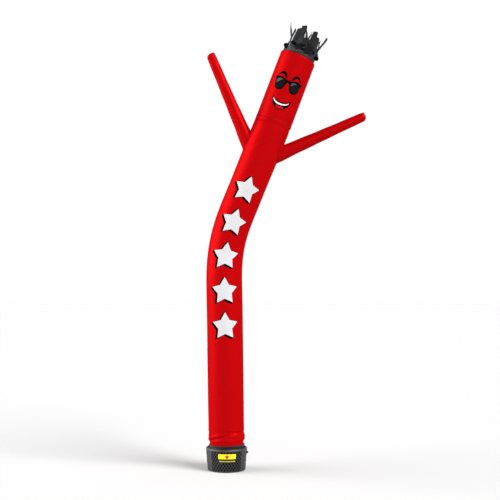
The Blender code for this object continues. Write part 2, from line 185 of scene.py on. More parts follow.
def spoke(degrees, across=Vector((1, 0, 0)), other=Vector((0, 1, 0))):
    """The direction that is turned this far from across towards the other one."""
    turn = math.radians(degrees)
    return across * math.cos(turn) + other * math.sin(turn)


def round_z(degrees, radius, height):
    """A point degrees to the right of the front, this far from the drum's middle and this high."""
    turn = math.radians(degrees)
    return Vector((radius * math.sin(turn), -radius * math.cos(turn), height))


def drum_radius(height):
    return FOOT_RADIUS + (SIDE_RADIUS - FOOT_RADIUS) * height / SHOULDER_LOW


def on_drum(degrees, height, lift=0.0):
    """A point on the drum's side: degrees to the right of the front, height, lift off the plastic."""
    return round_z(degrees, drum_radius(height) + lift, height)


def pressed_in(degrees, height):
    """How deep the drum's side is pressed in at this place."""
    depths = [depth for middle, half, depth in PANELS if abs((degrees - middle + 180) % 360 - 180) < half]
    return depths[0] if depths and PANEL_LOW < height < PANEL_HIGH else 0.0


drum_black = moulded_plastic(
    "black drum plastic", (0.014, 0.0142, 0.0168), 0.50, 0.0016, (0.034, 0.0345, 0.039), 0.70
)
# The deep pits' floors: the drum's plastic painted near black, as painted shade inside the net's holes.
net_pit_painted_shade, tree, shader = finish("net pit painted shade", (0.003, 0.003, 0.0035), 0.9, Specular_IOR_Level=0.05)
tint(tree, shader, clouds(tree, 60.0, 4.0, 0.6), (0.0022, 0.0022, 0.0026), (0.0040, 0.0040, 0.0046))

ends = [(middle + side * half) % 360 for middle, half, _ in PANELS for side in (-1, 1)]
columns = sorted({3.0 * i for i in range(120)} | {end + shift for end in ends for shift in (-0.2, 0.2)})
shoulder = []
for i in range(11):
    turn = math.radians(SHOULDER_TURN) * i / 10
    drawn_in = SHOULDER_DEPTH * (1 - math.cos(turn))
    shoulder.append((SIDE_RADIUS - drawn_in, SHOULDER_LOW + (SHOULDER_HIGH - SHOULDER_LOW) * math.sin(turn)))
lip_radius, lip_height = shoulder[-1]
side_heights = [end + shift for end in (PANEL_LOW, PANEL_HIGH) for shift in (-0.0006, 0.0006)]
side_heights[2:2] = [0.07, 0.13, 0.19]
profile = [
    (FOOT_RADIUS - 0.060, 0.004),
    (FOOT_RADIUS - 0.056, 0.0),
    (FOOT_RADIUS - FOOT_EDGE, 0.0),
    (FOOT_RADIUS - 0.55 * FOOT_EDGE, 0.10 * FOOT_EDGE),
    (FOOT_RADIUS - 0.20 * FOOT_EDGE, 0.35 * FOOT_EDGE),
    (drum_radius(0.8 * FOOT_EDGE), 0.8 * FOOT_EDGE),
    *((drum_radius(height), height) for height in side_heights),
    *shoulder,
    (lip_radius - 0.0020, lip_height + 0.0004),
    (lip_radius - 0.0036, lip_height - 0.0010),
    (lip_radius - 0.0050, WELL_HEIGHT + 0.0030),
    (lip_radius - 0.0080, WELL_HEIGHT),
    (OUTLET_RADIUS, WELL_HEIGHT),
    (OUTLET_RADIUS, OUTLET_TOP - 0.004),
    (OUTLET_RADIUS - 0.004, OUTLET_TOP),
]
mesh = bmesh.new()
rings = skinned(mesh, [
    [round_z(degrees, radius - pressed_in(degrees, height), height) for degrees in columns]
    for radius, height in profile
])
mesh.faces.new(rings[0][::-1])
mesh.faces.new(rings[-1])
drum = fitted("drum_housing", mesh, drum_black, "black_drum", "blower_drum", sharp=32)
# Faces sunk well into the front and back panels take the pits' painted shade.
drum.data.materials.append(net_pit_painted_shade)
for face in drum.data.polygons:
    middle = face.center
    inward = drum_radius(middle.z) - math.hypot(middle.x, middle.y)
    if PANEL_LOW < middle.z < PANEL_HIGH and inward > 0.7 * PANEL_DEPTH:
        face.material_index = 1


# --- Air net ---
# The air is drawn in through a moulded net of flat bars that cross as diamonds, flush with the drum's side.
# The pits between the bars are deep in front and behind, and shallow at the sides. The floors of the
# deep pits are painted near black: painted shade for the dark inside the net's holes.

BARS_AROUND = 40
BAR_WIDTH = 0.0100
BAR_TWIST = 3.0 * 180 / math.pi  # degrees turned for each metre of height
BAR_PROFILE = (
    # share of half the width, share of the panel's depth
    (-1.0, 1.1),
    (-0.86, 0.2),
    (-0.45, 0.0),
    (0.45, 0.0),
    (0.86, 0.2),
    (1.0, 1.1),
)


def bar_rings(panel, start, way, under):
    """Sections of one bar of the net, from where it enters its panel to where it leaves it."""
    middle, half, depth = panel
    half_height = (PANEL_HIGH - PANEL_LOW) / 2
    mid_height = (PANEL_HIGH + PANEL_LOW) / 2
    reach = sorted(way * (side * half - start) / BAR_TWIST for side in (-1, 1))
    low, high = max(reach[0], -half_height), min(reach[1], half_height)
    if high - low < 0.004:
        return []
    steps = max(2, round((high - low) / 0.012))
    heights = [low + (high - low) * i / steps for i in range(steps + 1)]
    found = []
    for height in heights:
        degrees = middle + start + way * BAR_TWIST * height
        here = on_drum(degrees, mid_height + height)
        ahead = on_drum(degrees + way * BAR_TWIST * 0.001, mid_height + height + 0.001)
        out = Vector((here.x, here.y, 0)).normalized()
        across = (ahead - here).normalized().cross(out)
        found.append([
            here + across * share * BAR_WIDTH / 2 - out * (deep * depth + under)
            for share, deep in BAR_PROFILE
        ])
    return found


net_black = moulded_plastic(
    "black net plastic", (0.006, 0.0062, 0.0075), 0.40, 0.0014, (0.016, 0.0163, 0.019), 0.56
)
mesh = bmesh.new()
for panel in PANELS:
    for way, under in ((1, 0.0), (-1, 0.0003)):
        for k in range(-10, 11):
            rings = bar_rings(panel, k * 360 / BARS_AROUND, way, under)
            if rings:
                skinned(mesh, rings, around=False)
fitted("air_net", mesh, net_black, "black_drum", sharp=35)


# --- Knob ---
# A small black turning knob with a fluted grip, pushed on to its spindle on the right of the drum, under
# the shoulder.

KNOB_RADIUS = 0.0145
KNOB_LENGTH = 0.0165
KNOB_HEIGHT = 0.223
KNOB_TURN = 8.0
FLUTES = 14
KNOB_PROFILE = (
    # share of its length, share of its radius, fluted or not
    (-0.20, 0.00, 0), (-0.20, 1.00, 0), (0.12, 1.00, 0), (0.20, 0.97, 0), (0.24, 0.92, 1), (0.86, 0.88, 1),
    (0.95, 0.80, 1), (1.00, 0.70, 0), (1.00, 0.42, 0), (0.93, 0.36, 0), (0.93, 0.00, 0),
)
FLUTE_DEPTH = 0.05


def turned_part(mesh, base, out, profile, sides, flutes=0):
    """Adds a part turned about the line from base along out: rings of (reach, radius, flute depth)."""
    spokes = [
        (spoke(360 * i / sides, UP.cross(out), UP), 1 - math.cos(2 * math.pi * flutes * i / sides))
        for i in range(sides)
    ]
    skinned(mesh, [
        [base + out * reach + sideways * (radius - fluted * cut) for sideways, cut in spokes]
        for reach, radius, fluted in profile
    ])


def sealed(mesh):
    """Merges the middle points at a turned part's ends, with its faces outwards."""
    bmesh.ops.remove_doubles(mesh, verts=mesh.verts, dist=1e-6)
    bmesh.ops.recalc_face_normals(mesh, faces=mesh.faces)
    return mesh


knob_black = moulded_plastic(
    "black knob plastic", (0.003, 0.003, 0.0034), 0.60, 0.0008, (0.006, 0.006, 0.007), 0.06
)
knob_out = round_z(90 - KNOB_TURN, 1, 0)
knob_base = knob_out * (drum_radius(KNOB_HEIGHT + KNOB_RADIUS) + 0.0003) + UP * KNOB_HEIGHT
knob_rings = [(KNOB_LENGTH * a, KNOB_RADIUS * b, FLUTE_DEPTH * KNOB_RADIUS * c) for a, b, c in KNOB_PROFILE]
mesh = bmesh.new()
turned_part(mesh, knob_base, knob_out, knob_rings, FLUTES * 4, FLUTES)
fitted("turning_knob", sealed(mesh), knob_black, "black_knob", "rim_knob", sharp=40)


# --- Front plate and strip ---
# A thin yellow plate with rounded corners is bent round the drum's front and glued over the net, with a
# narrow duller strip under it. The plate carries one small printed star.

PLATE = (2.6, 25.0, 0.1705, 0.2300)  # middle and half width in degrees, lower edge, upper edge
STRIP = (2.8, 23.4, 0.1350, 0.1490)
PLATE_LIFT = 0.0023
PLATE_MEASURED_AT = 0.20  # the height where its width is measured round the drum
PLATE_STAR = 0.0305


def laid_on(outlines, place, lift, spacing, depth=0.0):
    """A bmesh patch cut to flat outlines and laid on a curved face, with walls round it where it has a depth.
    place gives the point at (x, y, lift)."""
    points, loops = [], []
    for outline in outlines:
        loop = []
        for (x, y), (next_x, next_y) in zip(outline, outline[1:] + outline[:1]):
            parts = max(1, math.ceil(math.hypot(next_x - x, next_y - y) / spacing))
            for i in range(parts):
                loop.append(len(points))
                points.append(Vector((x + (next_x - x) * i / parts, y + (next_y - y) * i / parts)))
        loops.append(loop)
    left, right = min(p.x for p in points), max(p.x for p in points)
    low, high = min(p.y for p in points), max(p.y for p in points)
    for i in range(1, int((right - left) / spacing)):
        for j in range(1, int((high - low) / spacing)):
            points.append(Vector((left + i * spacing + 1e-4, low + (j + 0.37) * spacing)))
    flat, _, faces, *_ = geometry.delaunay_2d_cdt(points, [], loops, 1, 1e-6)
    mesh = bmesh.new()
    cloth = mesh.loops.layers.uv.new("cloth")
    used = sorted({i for face in faces for i in face})
    top = {i: mesh.verts.new(place(flat[i].x, flat[i].y, lift)) for i in used}
    spot = {vertex: flat[i] for i, vertex in top.items()}
    for face in faces:
        for loop in mesh.faces.new([top[i] for i in face]).loops:
            loop[cloth].uv = spot[loop.vert]
    if depth:
        rim = [edge for edge in mesh.edges if edge.is_boundary]
        foot = {}
        for vertex in dict.fromkeys(v for edge in rim for v in edge.verts):
            foot[vertex] = mesh.verts.new(place(spot[vertex].x, spot[vertex].y, lift - depth))
        for edge in rim:
            a, b = edge.link_loops[0].vert, edge.link_loops[0].link_loop_next.vert
            mesh.faces.new((b, a, foot[a], foot[b]))
    return mesh


def rounded_box(left, right, low, high, corner):
    """A rectangle's outline with rounded corners."""
    outline = []
    for x, y, start in (
        (right - corner, low + corner, -90), (right - corner, high - corner, 0),
        (left + corner, high - corner, 90), (left + corner, low + corner, 180),
    ):
        for i in range(7):
            turn = math.radians(start + 15 * i)
            outline.append((x + corner * math.cos(turn), y + corner * math.sin(turn)))
    return outline


def star(x, y, radius, waist):
    """A five-pointed star's outline, point upwards. waist is the inner corners' share of the radius."""
    outline = []
    for i in range(10):
        turn = math.radians(90 + 36 * i)
        reach = radius * (waist if i % 2 else 1.0)
        outline.append((x + reach * math.cos(turn), y + reach * math.sin(turn)))
    return outline


def over_net(x, y, lift):
    """The point over the drum's front for a place on the flat plate: x to the right of the front, y up."""
    return on_drum(math.degrees(x / drum_radius(PLATE_MEASURED_AT)), y, lift)


def enamel(name, colour, stained):
    """Printed sheet: an even colour, faintly cloudy, with a soft gloss."""
    made, tree, shader = finish(name, colour, 0.42, Specular_IOR_Level=0.25)
    cloud = clouds(tree, 26.0, 4.0, 0.6)
    tint(tree, shader, node(tree, "MapRange", cloud, 0.45, 0.75, 0.0, 1.0), colour, stained)
    roughen(tree, shader, cloud, 0.36, 0.50)
    embossed(tree, shader, clouds(tree, 700.0, 2.0, 0.5), 0.15, 0.0003)
    return made


plate_yellow = enamel("plate yellow", (0.95, 0.90, 0.002), (0.90, 0.80, 0.004))
strip_yellow = enamel("strip yellow", (0.42, 0.39, 0.030), (0.26, 0.24, 0.022))
plate_red = enamel("plate print red", (0.72, 0.012, 0.030), (0.62, 0.010, 0.025))
for name, (middle, half, low, high), corner, material, node_name in (
    ("yellow_plate", PLATE, 0.008, plate_yellow, "front_plate"),
    ("yellow_strip", STRIP, 0.005, strip_yellow, "front_strip"),
):
    left, right = (math.radians(middle + side * half) * drum_radius(PLATE_MEASURED_AT) for side in (-1, 1))
    outline = rounded_box(left, right, low, high, corner)
    patch = laid_on([outline], over_net, PLATE_LIFT, 0.006, PLATE_LIFT - 0.0003)
    fitted(name, patch, material, "yellow_plate", node_name, sharp=40)
plate_middle = math.radians(PLATE[0]) * drum_radius(PLATE_MEASURED_AT), (PLATE[2] + PLATE[3]) / 2
plate_star = star(plate_middle[0], plate_middle[1] - 0.0025, PLATE_STAR, 0.60)
fitted("plate_star", laid_on([plate_star], over_net, PLATE_LIFT + 0.0003, 0.004), plate_red, "yellow_plate")


# --- Body tube ---
# The body is one long sleeve of thin red ripstop nylon, sewn up along its back and gathered at the hem on
# to the air outlet. The running blower fills it: it stands straight, leans to the right from half way up
# and creases over the strap.

CLOTH = 0.002
SEAM_GAP = 0.0003
HEM = 0.290
NECK = 4.460
HEAD_TOP = 5.342
FOOT_LEAN = -0.9
SHOULDER_LEAN = 22.0
HEAD_LEAN = 20.7
UPRIGHT_UP_TO = 0.335
BEND_START = 2.25
BEND_END = 3.34
NECK_BEND = 0.20
HEAD_TILT = 2.5
TUBE_COLUMNS = 192
BACK = 270  # angles round the tube run from its right, 0, over the front, 90, to the left and the back
STRAPPED_RADIUS = 0.2145
TUBE_STATIONS = (
    # length up the tube, radius
    (HEM, STRAPPED_RADIUS),
    (0.323, STRAPPED_RADIUS),
    (0.350, 0.2175),
    (0.386, 0.2245),
    (0.440, 0.2245),
    (0.490, 0.2225),
    (0.560, 0.2230),
    (1.200, 0.2252),
    (2.300, 0.2252),
    (2.700, 0.2235),
    (3.400, 0.2270),
    (4.300, 0.2320),
    (4.800, 0.2300),
    (HEAD_TOP - 0.026, 0.2290),
    (HEAD_TOP - 0.012, 0.2280),
    (HEAD_TOP - 0.003, 0.2225),
    (HEAD_TOP, 0.2060),
)
CREASES = (
    # from_angle, to_angle, from_height, to_height, depth, width
    (172, 76, 0.362, 0.456, 0.0096, 0.028),
    (98, -4, 0.484, 0.474, 0.0062, 0.026),
    (216, 148, 0.346, 0.343, 0.0080, 0.030),
    (92, 66, 0.412, 0.416, 0.0040, 0.020),
    (36, -40, 0.418, 0.422, -0.0060, 0.040),
    (20, -60, 0.352, 0.350, 0.0050, 0.028),
    (-20, -96, 0.478, 0.420, 0.0120, 0.032),
    (-70, -150, 0.372, 0.440, 0.0100, 0.030),
    (-110, -185, 0.515, 0.470, 0.0090, 0.034),
    (158, 90, 4.425, 4.421, 0.0065, 0.030),
    (92, 44, 4.421, 4.418, 0.0018, 0.030),
    (20, -60, 4.440, 4.428, 0.0050, 0.032),
    (-90, -170, 4.420, 4.436, 0.0050, 0.032),
    (38, 28, 0.452, 0.352, 0.0034, 0.030),
    (146, 141, 0.396, 0.344, 0.0024, 0.034),
    (138, 133, 0.400, 0.346, 0.0022, 0.034),
    (130, 126, 0.388, 0.342, 0.0020, 0.032),
    (104, 84, 0.372, 0.368, 0.0036, 0.016),
    (-40, -84, 0.392, 0.370, 0.0030, 0.012),
    (-100, -142, 0.452, 0.478, 0.0028, 0.012),
    (-150, -188, 0.396, 0.420, 0.0030, 0.012),
    (-60, -100, 0.540, 0.560, 0.0020, 0.014),
)
STRAP_GATHER = 0.0030
BACK_STITCHES = 0.0032  # off the middle of the back seam
BODY_RADIUS = 0.226  # where places beside the back seam are measured
HEAD_RADIUS = 0.230
BODY_SEAM = (0.332, NECK - 0.006, 0.0077, BODY_RADIUS)  # from height, to height, stitch pitch, radius
HEAD_SEAM = (NECK + 0.016, HEAD_TOP - 0.034, 0.0078, HEAD_RADIUS)
CUT_WIDTH = 2 * math.pi * 0.2255
THREAD_PITCH = 0.0011
RED_SQUARE = 0.0060
BODY_ROWS = (
    # from height, to height, rows
    (HEM, 0.620, 66),
    (0.620, 2.250, 34),
    (2.250, 3.340, 34),
    (3.340, 3.700, 9),
    (3.700, 4.150, 23),
    (4.150, 4.380, 8),
    (4.380, NECK - SEAM_GAP / 2, 16),
)
LINE_STEP = 0.01


def smooth(t):
    """0 below 0, 1 above 1, and an even S between them."""
    t = min(max(t, 0.0), 1.0)
    return t * t * (3 - 2 * t)


def lean(up):
    """How far the tube's centre line leans to the right at this length up the tube, in radians."""
    foot = smooth((up - UPRIGHT_UP_TO) / 0.1)
    bend = smooth((up - BEND_START) / (BEND_END - BEND_START))
    neck = smooth((up - NECK + NECK_BEND) / (2 * NECK_BEND))
    degrees = FOOT_LEAN * foot + (SHOULDER_LEAN - FOOT_LEAN) * bend + (HEAD_LEAN - SHOULDER_LEAN) * neck
    return math.radians(degrees)


centre_line = [Vector((0, 0, 0))]
while len(centre_line) * LINE_STEP < HEAD_TOP + 0.3:
    angle = lean((len(centre_line) - 0.5) * LINE_STEP)
    centre_line.append(centre_line[-1] + Vector((math.sin(angle), 0, math.cos(angle))) * LINE_STEP)


def tube_frame(up, tilt=0.0):
    """The centre line's point at this length up the tube, the direction along it and the one to its right."""
    whole = int(up / LINE_STEP)
    point = centre_line[whole].lerp(centre_line[whole + 1], up / LINE_STEP - whole)
    angle = lean(up) + tilt
    along = Vector((math.sin(angle), 0, math.cos(angle)))
    return point, along, Vector((along.z, 0, -along.x))


def tilted_frame(up):
    """The frame of a ring of the tube. The head's rings tilt a little more towards its top."""
    return tube_frame(up, math.radians(HEAD_TILT) * smooth((up - NECK) / (HEAD_TOP - NECK)))


def station_radius(stations, place):
    """The radius at this place along the tube or an arm, eased from one station to the next."""
    for (low, low_radius), (high, high_radius) in zip(stations, stations[1:]):
        if place <= high:
            return low_radius + (high_radius - low_radius) * smooth((place - low) / (high - low))
    return stations[-1][1]


def crease_depth(up, angle):
    """How deep the creases press the cloth in at this length up the tube and angle in degrees."""
    total = 0.0
    for start, end, low, high, depth, width in CREASES:
        if not min(low, high) - 4 * width < up < max(low, high) + 3 * width:
            continue
        turned = angle
        while turned > max(start, end) + 90:
            turned -= 360
        while turned < min(start, end) - 90:
            turned += 360
        along = (turned - start) / (end - start)
        fade = smooth((along + 0.15) / 0.35) * smooth((1.15 - along) / 0.35)
        off = (up - (low + (high - low) * along)) / width
        off *= 1.0 if off > 0 else 0.6  # cloth that hangs over: steep above, gentle below
        lip = 0.33 * math.exp(-4 * (off - 1.1) ** 2)
        total += depth * fade * (math.exp(-4 * off * off) - lip + 0.16 * math.exp(-60 * off * off))
    return total


def small_folds(up, angle):
    """How far its own unevenness lifts the cloth: slow waves, gathers over the strap, puckers at the neck."""
    around = spoke(angle)
    lift = 0.0030 * noise.noise(around * 1.3 + UP * up * 0.8)
    lift += 0.0011 * noise.noise(around * 3.4 + UP * up * 2.6 + Vector((7, 3, 0)))
    if up < 0.56:
        gather = smooth((up - 0.320) / 0.012) * (1 - smooth((up - 0.340) / 0.100))
        lift += STRAP_GATHER * gather * noise.noise(around * 7.5 + UP * up * 2.0)
        lift -= 0.0009 * abs(noise.noise(around * 9.0)) * (1 - smooth((up - 0.316) / 0.02))
    near_neck = 1 - smooth(abs(up - NECK) / 0.055)
    if near_neck > 0:
        lift += 0.0016 * near_neck * noise.noise(around * 9.0 + UP * up * 1.5 + Vector((0, 4, 9)))
    off_back = math.radians(abs((angle - BACK + 180) % 360 - 180)) * BODY_RADIUS
    lift += 0.0014 * math.exp(-((off_back / 0.0060) ** 4))
    return lift - 0.0010 * math.exp(-(((off_back - 0.012) / 0.005) ** 2))


def cloth_radius(up, angle):
    """The tube's radius to the outer face of its cloth."""
    held = smooth((up - 0.314) / 0.02) * smooth((HEAD_TOP - up) / 0.02)
    folds = small_folds(up, angle)
    radius = station_radius(TUBE_STATIONS, up) - crease_depth(up, angle)
    return radius + (folds if folds < 0 else folds * held)


def on_cloth(up, angle, lift=0.0):
    """A point on the outer face of the tube's cloth, lifted off it."""
    point, _, across = tilted_frame(up)
    return point + spoke(angle, across, FRONT) * (cloth_radius(up, angle) + lift)


def tube_ring(up, lift=0.0):
    """Points all round the tube's cloth, from the back seam on."""
    return [on_cloth(up, BACK + 360 * i / TUBE_COLUMNS, lift) for i in range(TUBE_COLUMNS)]


def rows_of(stretches):
    """The heights of a sleeve's rows."""
    found = [stretches[0][0]]
    for low, high, count in stretches:
        found += [low + (high - low) * (i + 1) / count for i in range(count)]
    return found


def woven(rings, width, heights, keep=None):
    """A bmesh sleeve of cloth through rings of points. Its UV map is the flat cloth, in metres."""
    mesh = bmesh.new()
    skinned(mesh, rings, flat=lambda i, j: (width * i / len(rings[0]), heights[j]), keep=keep)
    for vertex in [vertex for vertex in mesh.verts if not vertex.link_faces]:
        mesh.verts.remove(vertex)
    return mesh


def close_tip(mesh, count, lift=Vector()):
    """Closes the last ring of a sleeve with a point in its middle."""
    mesh.verts.ensure_lookup_table()
    last = mesh.verts[-count:]
    tip = mesh.verts.new(sum((vertex.co for vertex in last), Vector()) / count + lift)
    for i in range(count):
        mesh.faces.new((last[i], tip, last[(i + 1) % count]))


def doubled(piece, thickness=CLOTH, offset=-1):
    """Gives a skin of cloth its thickness, inwards, or to both sides with offset 0."""
    skin = piece.modifiers.new("cloth thickness", "SOLIDIFY")
    skin.thickness = thickness
    skin.offset = offset
    return piece


def flat_place(tree):
    """The place on the flat cloth, in metres, and its two parts."""
    place = node(tree, "UVMap", uv_map="cloth")
    return place, node(tree, "SeparateXYZ", place).node.outputs[:2]


def ripstop(name, colour, faded, roughness, gloss, square, weave_depth):
    """Ripstop nylon: a fine weave with a grid of thicker threads, faintly crumpled and unevenly faded."""
    shine = tuple(min(1.0, part / max(colour)) for part in colour)
    made, tree, shader = finish(
        name, colour, roughness, Metallic=gloss, Specular_IOR_Level=0.0, Specular_Tint=(*shine, 1.0),
        Coat_Weight=0.03, Coat_Roughness=0.42,
    )
    place, sides = flat_place(tree)
    threads, squares = [], []
    for across in sides:
        threads.append(calc(tree, "SINE", calc(tree, "MULTIPLY", across, 2 * math.pi / THREAD_PITCH)))
        cell = calc(tree, "FRACT", calc(tree, "MULTIPLY", across, 1 / square))
        edge = calc(tree, "ABSOLUTE", calc(tree, "SUBTRACT", cell, 0.5))
        squares.append(node(tree, "MapRange", edge, 0.40, 0.49, 0.0, 1.0))
    grid = calc(tree, "MAXIMUM", *squares)
    crumple = clouds(tree, 55.0, 3.0, 0.55, place)
    fading = node(tree, "MapRange", clouds(tree, 2.2, 3.0, 0.5, place), 0.35, 0.70, 0.0, 1.0)
    darker = tuple(0.86 * part for part in colour)
    tone = between(tree, fading, colour, faded)
    tone = node(tree, "MixRGB", calc(tree, "MULTIPLY", grid, 0.55), tone, (*darker, 1.0))
    tree.links.new(tone, shader.inputs["Base Color"])
    roughen(tree, shader, crumple, roughness - 0.06, roughness + 0.08)
    height = calc(tree, "ADD", grid, calc(tree, "MULTIPLY", calc(tree, "MULTIPLY", *threads), 0.22))
    embossed(tree, shader, calc(tree, "ADD", height, calc(tree, "MULTIPLY", crumple, 2.2)), 0.45, weave_depth)
    return made


def stitched(name, rows, material, slot, thickness=0.00045, rise=0.0007):
    """Rows of stitches, each a short bent thread from one (point, direction out) of its row to the next."""
    mesh = bmesh.new()
    for row in rows:
        for (start, out), (end, end_out) in zip(row, row[1:]):
            run = end - start
            start, end = start + run * 0.14, end - run * 0.14
            side = run.normalized().cross(out)
            rings = []
            for share, lifted in ((0.0, -0.4), (0.25, 0.8), (0.75, 0.8), (1.0, -0.4)):
                middle = start.lerp(end, share) + out.lerp(end_out, share) * rise * lifted
                rings.append([middle + spoke(90 * i, side, out) * thickness for i in range(4)])
            skinned(mesh, rings)
    return fitted(name, mesh, material, slot)


def spaced(length, pitch):
    """Shares of the way along a seam, a stitch apart."""
    count = max(2, round(length / pitch))
    return [i / count for i in range(count + 1)]


def sewn(places, lift):
    """The (point, direction out) pairs of a row of stitches, from places (length up the tube, angle)."""
    points = [(on_cloth(up, angle, lift), tube_frame(up)[0]) for up, angle in places]
    return [(point, (point - middle).normalized()) for point, middle in points]


def back_seam(low, high, pitch, radius):
    """The two rows of stitches beside the back seam, from one length up the tube to another."""
    heights = [low + (high - low) * share for share in spaced(high - low, pitch)]
    angles = [BACK + math.degrees(off / radius) for off in (-BACK_STITCHES, BACK_STITCHES)]
    return [sewn([(up, angle) for up in heights], 0.0001) for angle in angles]


RED = (0.385, 0.0009, 0.0020)
red_nylon = ripstop("red ripstop nylon", RED, (0.395, 0.0009, 0.0020), 0.42, 0.30, RED_SQUARE, 0.00035)
thread_red = enamel("red sewing thread", (0.42, 0.002, 0.004), (0.36, 0.002, 0.003))

ARMS = (
    # name, side, raised from the tube's own line in degrees, length up the tube where its centre line starts
    ("arm_left", -1, 45.1, 3.905),
    ("arm_right", 1, 43.8, 3.885),
)
ARM_LENGTH = 1.508
ARM_STATIONS = (
    # reach from the tube's centre line, radius
    (0.10, 0.1010),
    (0.30, 0.0925),
    (0.60, 0.0800),
    (0.90, 0.0705),
    (1.20, 0.0630),
    (ARM_LENGTH, 0.0570),
)
ARMHOLE_SEAM = 0.008


def arm_frame(side, raised, shoulder):
    """Where an arm's centre line starts, its direction and the direction across it."""
    start, along, across = tube_frame(shoulder)
    turn = Matrix.Rotation(math.radians(raised) * side, 3, "Y")
    return start, turn @ along, turn @ across


arm_frames = {name: arm_frame(*row) for name, *row in ARMS}


def outside_armholes(corners):
    """True unless all of a face's corners lie within an arm, a seam's width inside its skin."""
    for start, along, _ in arm_frames.values():
        inside = 0
        for corner in corners:
            reach = (corner.co - start).dot(along)
            off = (corner.co - start - along * reach).length
            inside += reach > ARM_STATIONS[0][0] and off < station_radius(ARM_STATIONS, reach) - ARMHOLE_SEAM
        if inside == len(corners):
            return False
    return True


def tube_sleeve(rows, keep=None):
    heights = rows_of(rows)
    return woven([tube_ring(up) for up in heights], CUT_WIDTH, heights, keep)


body = fitted("body_sleeve", tube_sleeve(BODY_ROWS, outside_armholes), red_nylon, "red_nylon", "tube_body")
doubled(body)
back_stitches = stitched("back_seam_stitches", back_seam(*BODY_SEAM), thread_red, "red_nylon")


# --- Arms ---
# Two tapered sleeves of the same red nylon, sewn to round holes in the chest with a piped seam. The air
# from the body fills them out straight. Each ends in a flat seam that leaves a corner on its inner side and
# rounds off outwards.

ARM_COLUMNS = 72
ARM_FREE = 0.57  # from here on an arm's rows are square to it; nearer the tube they slant to meet the cloth
ARM_TIP = 0.052
TIP_ROWS = (0.16, 0.32, 0.48, 0.62, 0.74, 0.83, 0.90, 0.95, 0.985, 1.0)
ARM_WRINKLES = (
    # reach, angle round the arm, slant, length along the arm, width, depth
    (0.62, 70, 0.030, 0.16, 0.020, 0.0022),
    (0.86, 110, -0.040, 0.20, 0.022, 0.0020),
    (1.10, 60, 0.050, 0.15, 0.018, 0.0024),
    (1.24, 120, -0.030, 0.14, 0.016, 0.0030),
    (1.33, 75, 0.060, 0.13, 0.015, 0.0034),
    (1.40, 128, -0.050, 0.11, 0.013, 0.0032),
    (1.44, 40, 0.030, 0.10, 0.012, 0.0030),
    (1.20, 250, 0.040, 0.18, 0.020, 0.0026),
    (1.38, 290, -0.040, 0.13, 0.015, 0.0032),
    (0.80, 230, 0.030, 0.20, 0.022, 0.0022),
)
ROOTS_BETWEEN = (0.12, 0.62)  # reaches between which every part of an arm's skin leaves the tube
ROOT_GAP = 0.0006
PIPING_RADIUS = 0.0021
ARM_STITCHES_OFF = 0.0060  # off the armhole's edge
ARM_CUT_WIDTH = 0.47


def above_cloth(point, up):
    """How far a point near the tube stands off its cloth, and the length up the tube and angle under it."""
    for _ in range(4):
        centre, along, _ = tilted_frame(up)
        up += (point - centre).dot(along)
    centre, _, across = tilted_frame(up)
    out = point - centre
    angle = math.degrees(math.atan2(out.dot(FRONT), out.dot(across)))
    return out.length - cloth_radius(up, angle), up, angle


def arm_radius(reach, angle, seed):
    """An arm's radius, with its lengthwise wrinkles and the small gathers at its end."""
    turn = math.radians(angle)
    around = Vector((math.cos(turn), math.sin(turn), seed))
    radius = station_radius(ARM_STATIONS, reach)
    radius += 0.0022 * noise.noise(around * 1.2 + UP * reach * 1.9)
    radius += 0.0010 * noise.noise(around * 2.6 + UP * reach * 5.0)
    for middle, at_angle, slant, length, width, depth in ARM_WRINKLES:
        along = (reach - middle + 0.02 * seed) / length
        if abs(along) < 1:
            off = ((angle - at_angle - 11 * seed + 180) % 360 - 180) * math.pi / 180 * 0.065 - slant * along
            radius -= depth * (1 - along * along) ** 2 * math.exp(-((off / width) ** 2))
    gathered = smooth((reach - ARM_LENGTH + 0.11) / 0.10)
    return radius + 0.0016 * gathered * noise.noise(around * 4.5 + Vector((3, 0, 0)))


def arm_skin(place, side, reach, angle, share=1.0):
    """A point on an arm's skin, or only a share of the way out to it."""
    start, along, across = place
    return start + along * reach + spoke(angle, across, FRONT) * arm_radius(reach, angle, side) * share


def root_reach(place, side, angle, up):
    """How far out along an arm its skin leaves the tube's cloth, at this angle round it."""
    low, high = ROOTS_BETWEEN
    for _ in range(20):
        reach = (low + high) / 2
        off = above_cloth(arm_skin(place, side, reach, angle), up)[0]
        low, high = (low, reach) if off > ROOT_GAP else (reach, high)
    return high


def tip_share(share, from_inner):
    """How wide the arm's end still is: round on its outer side and nearly square on its inner one."""
    cornered = ((1 + math.cos(math.radians(from_inner))) / 2) ** 1.6
    rounded = math.sqrt(1 - (0.985 * share) ** 2)
    squared = 1 - 0.10 * share - 0.55 * smooth((share - 0.88) / 0.12)
    return rounded + (squared - rounded) * cornered


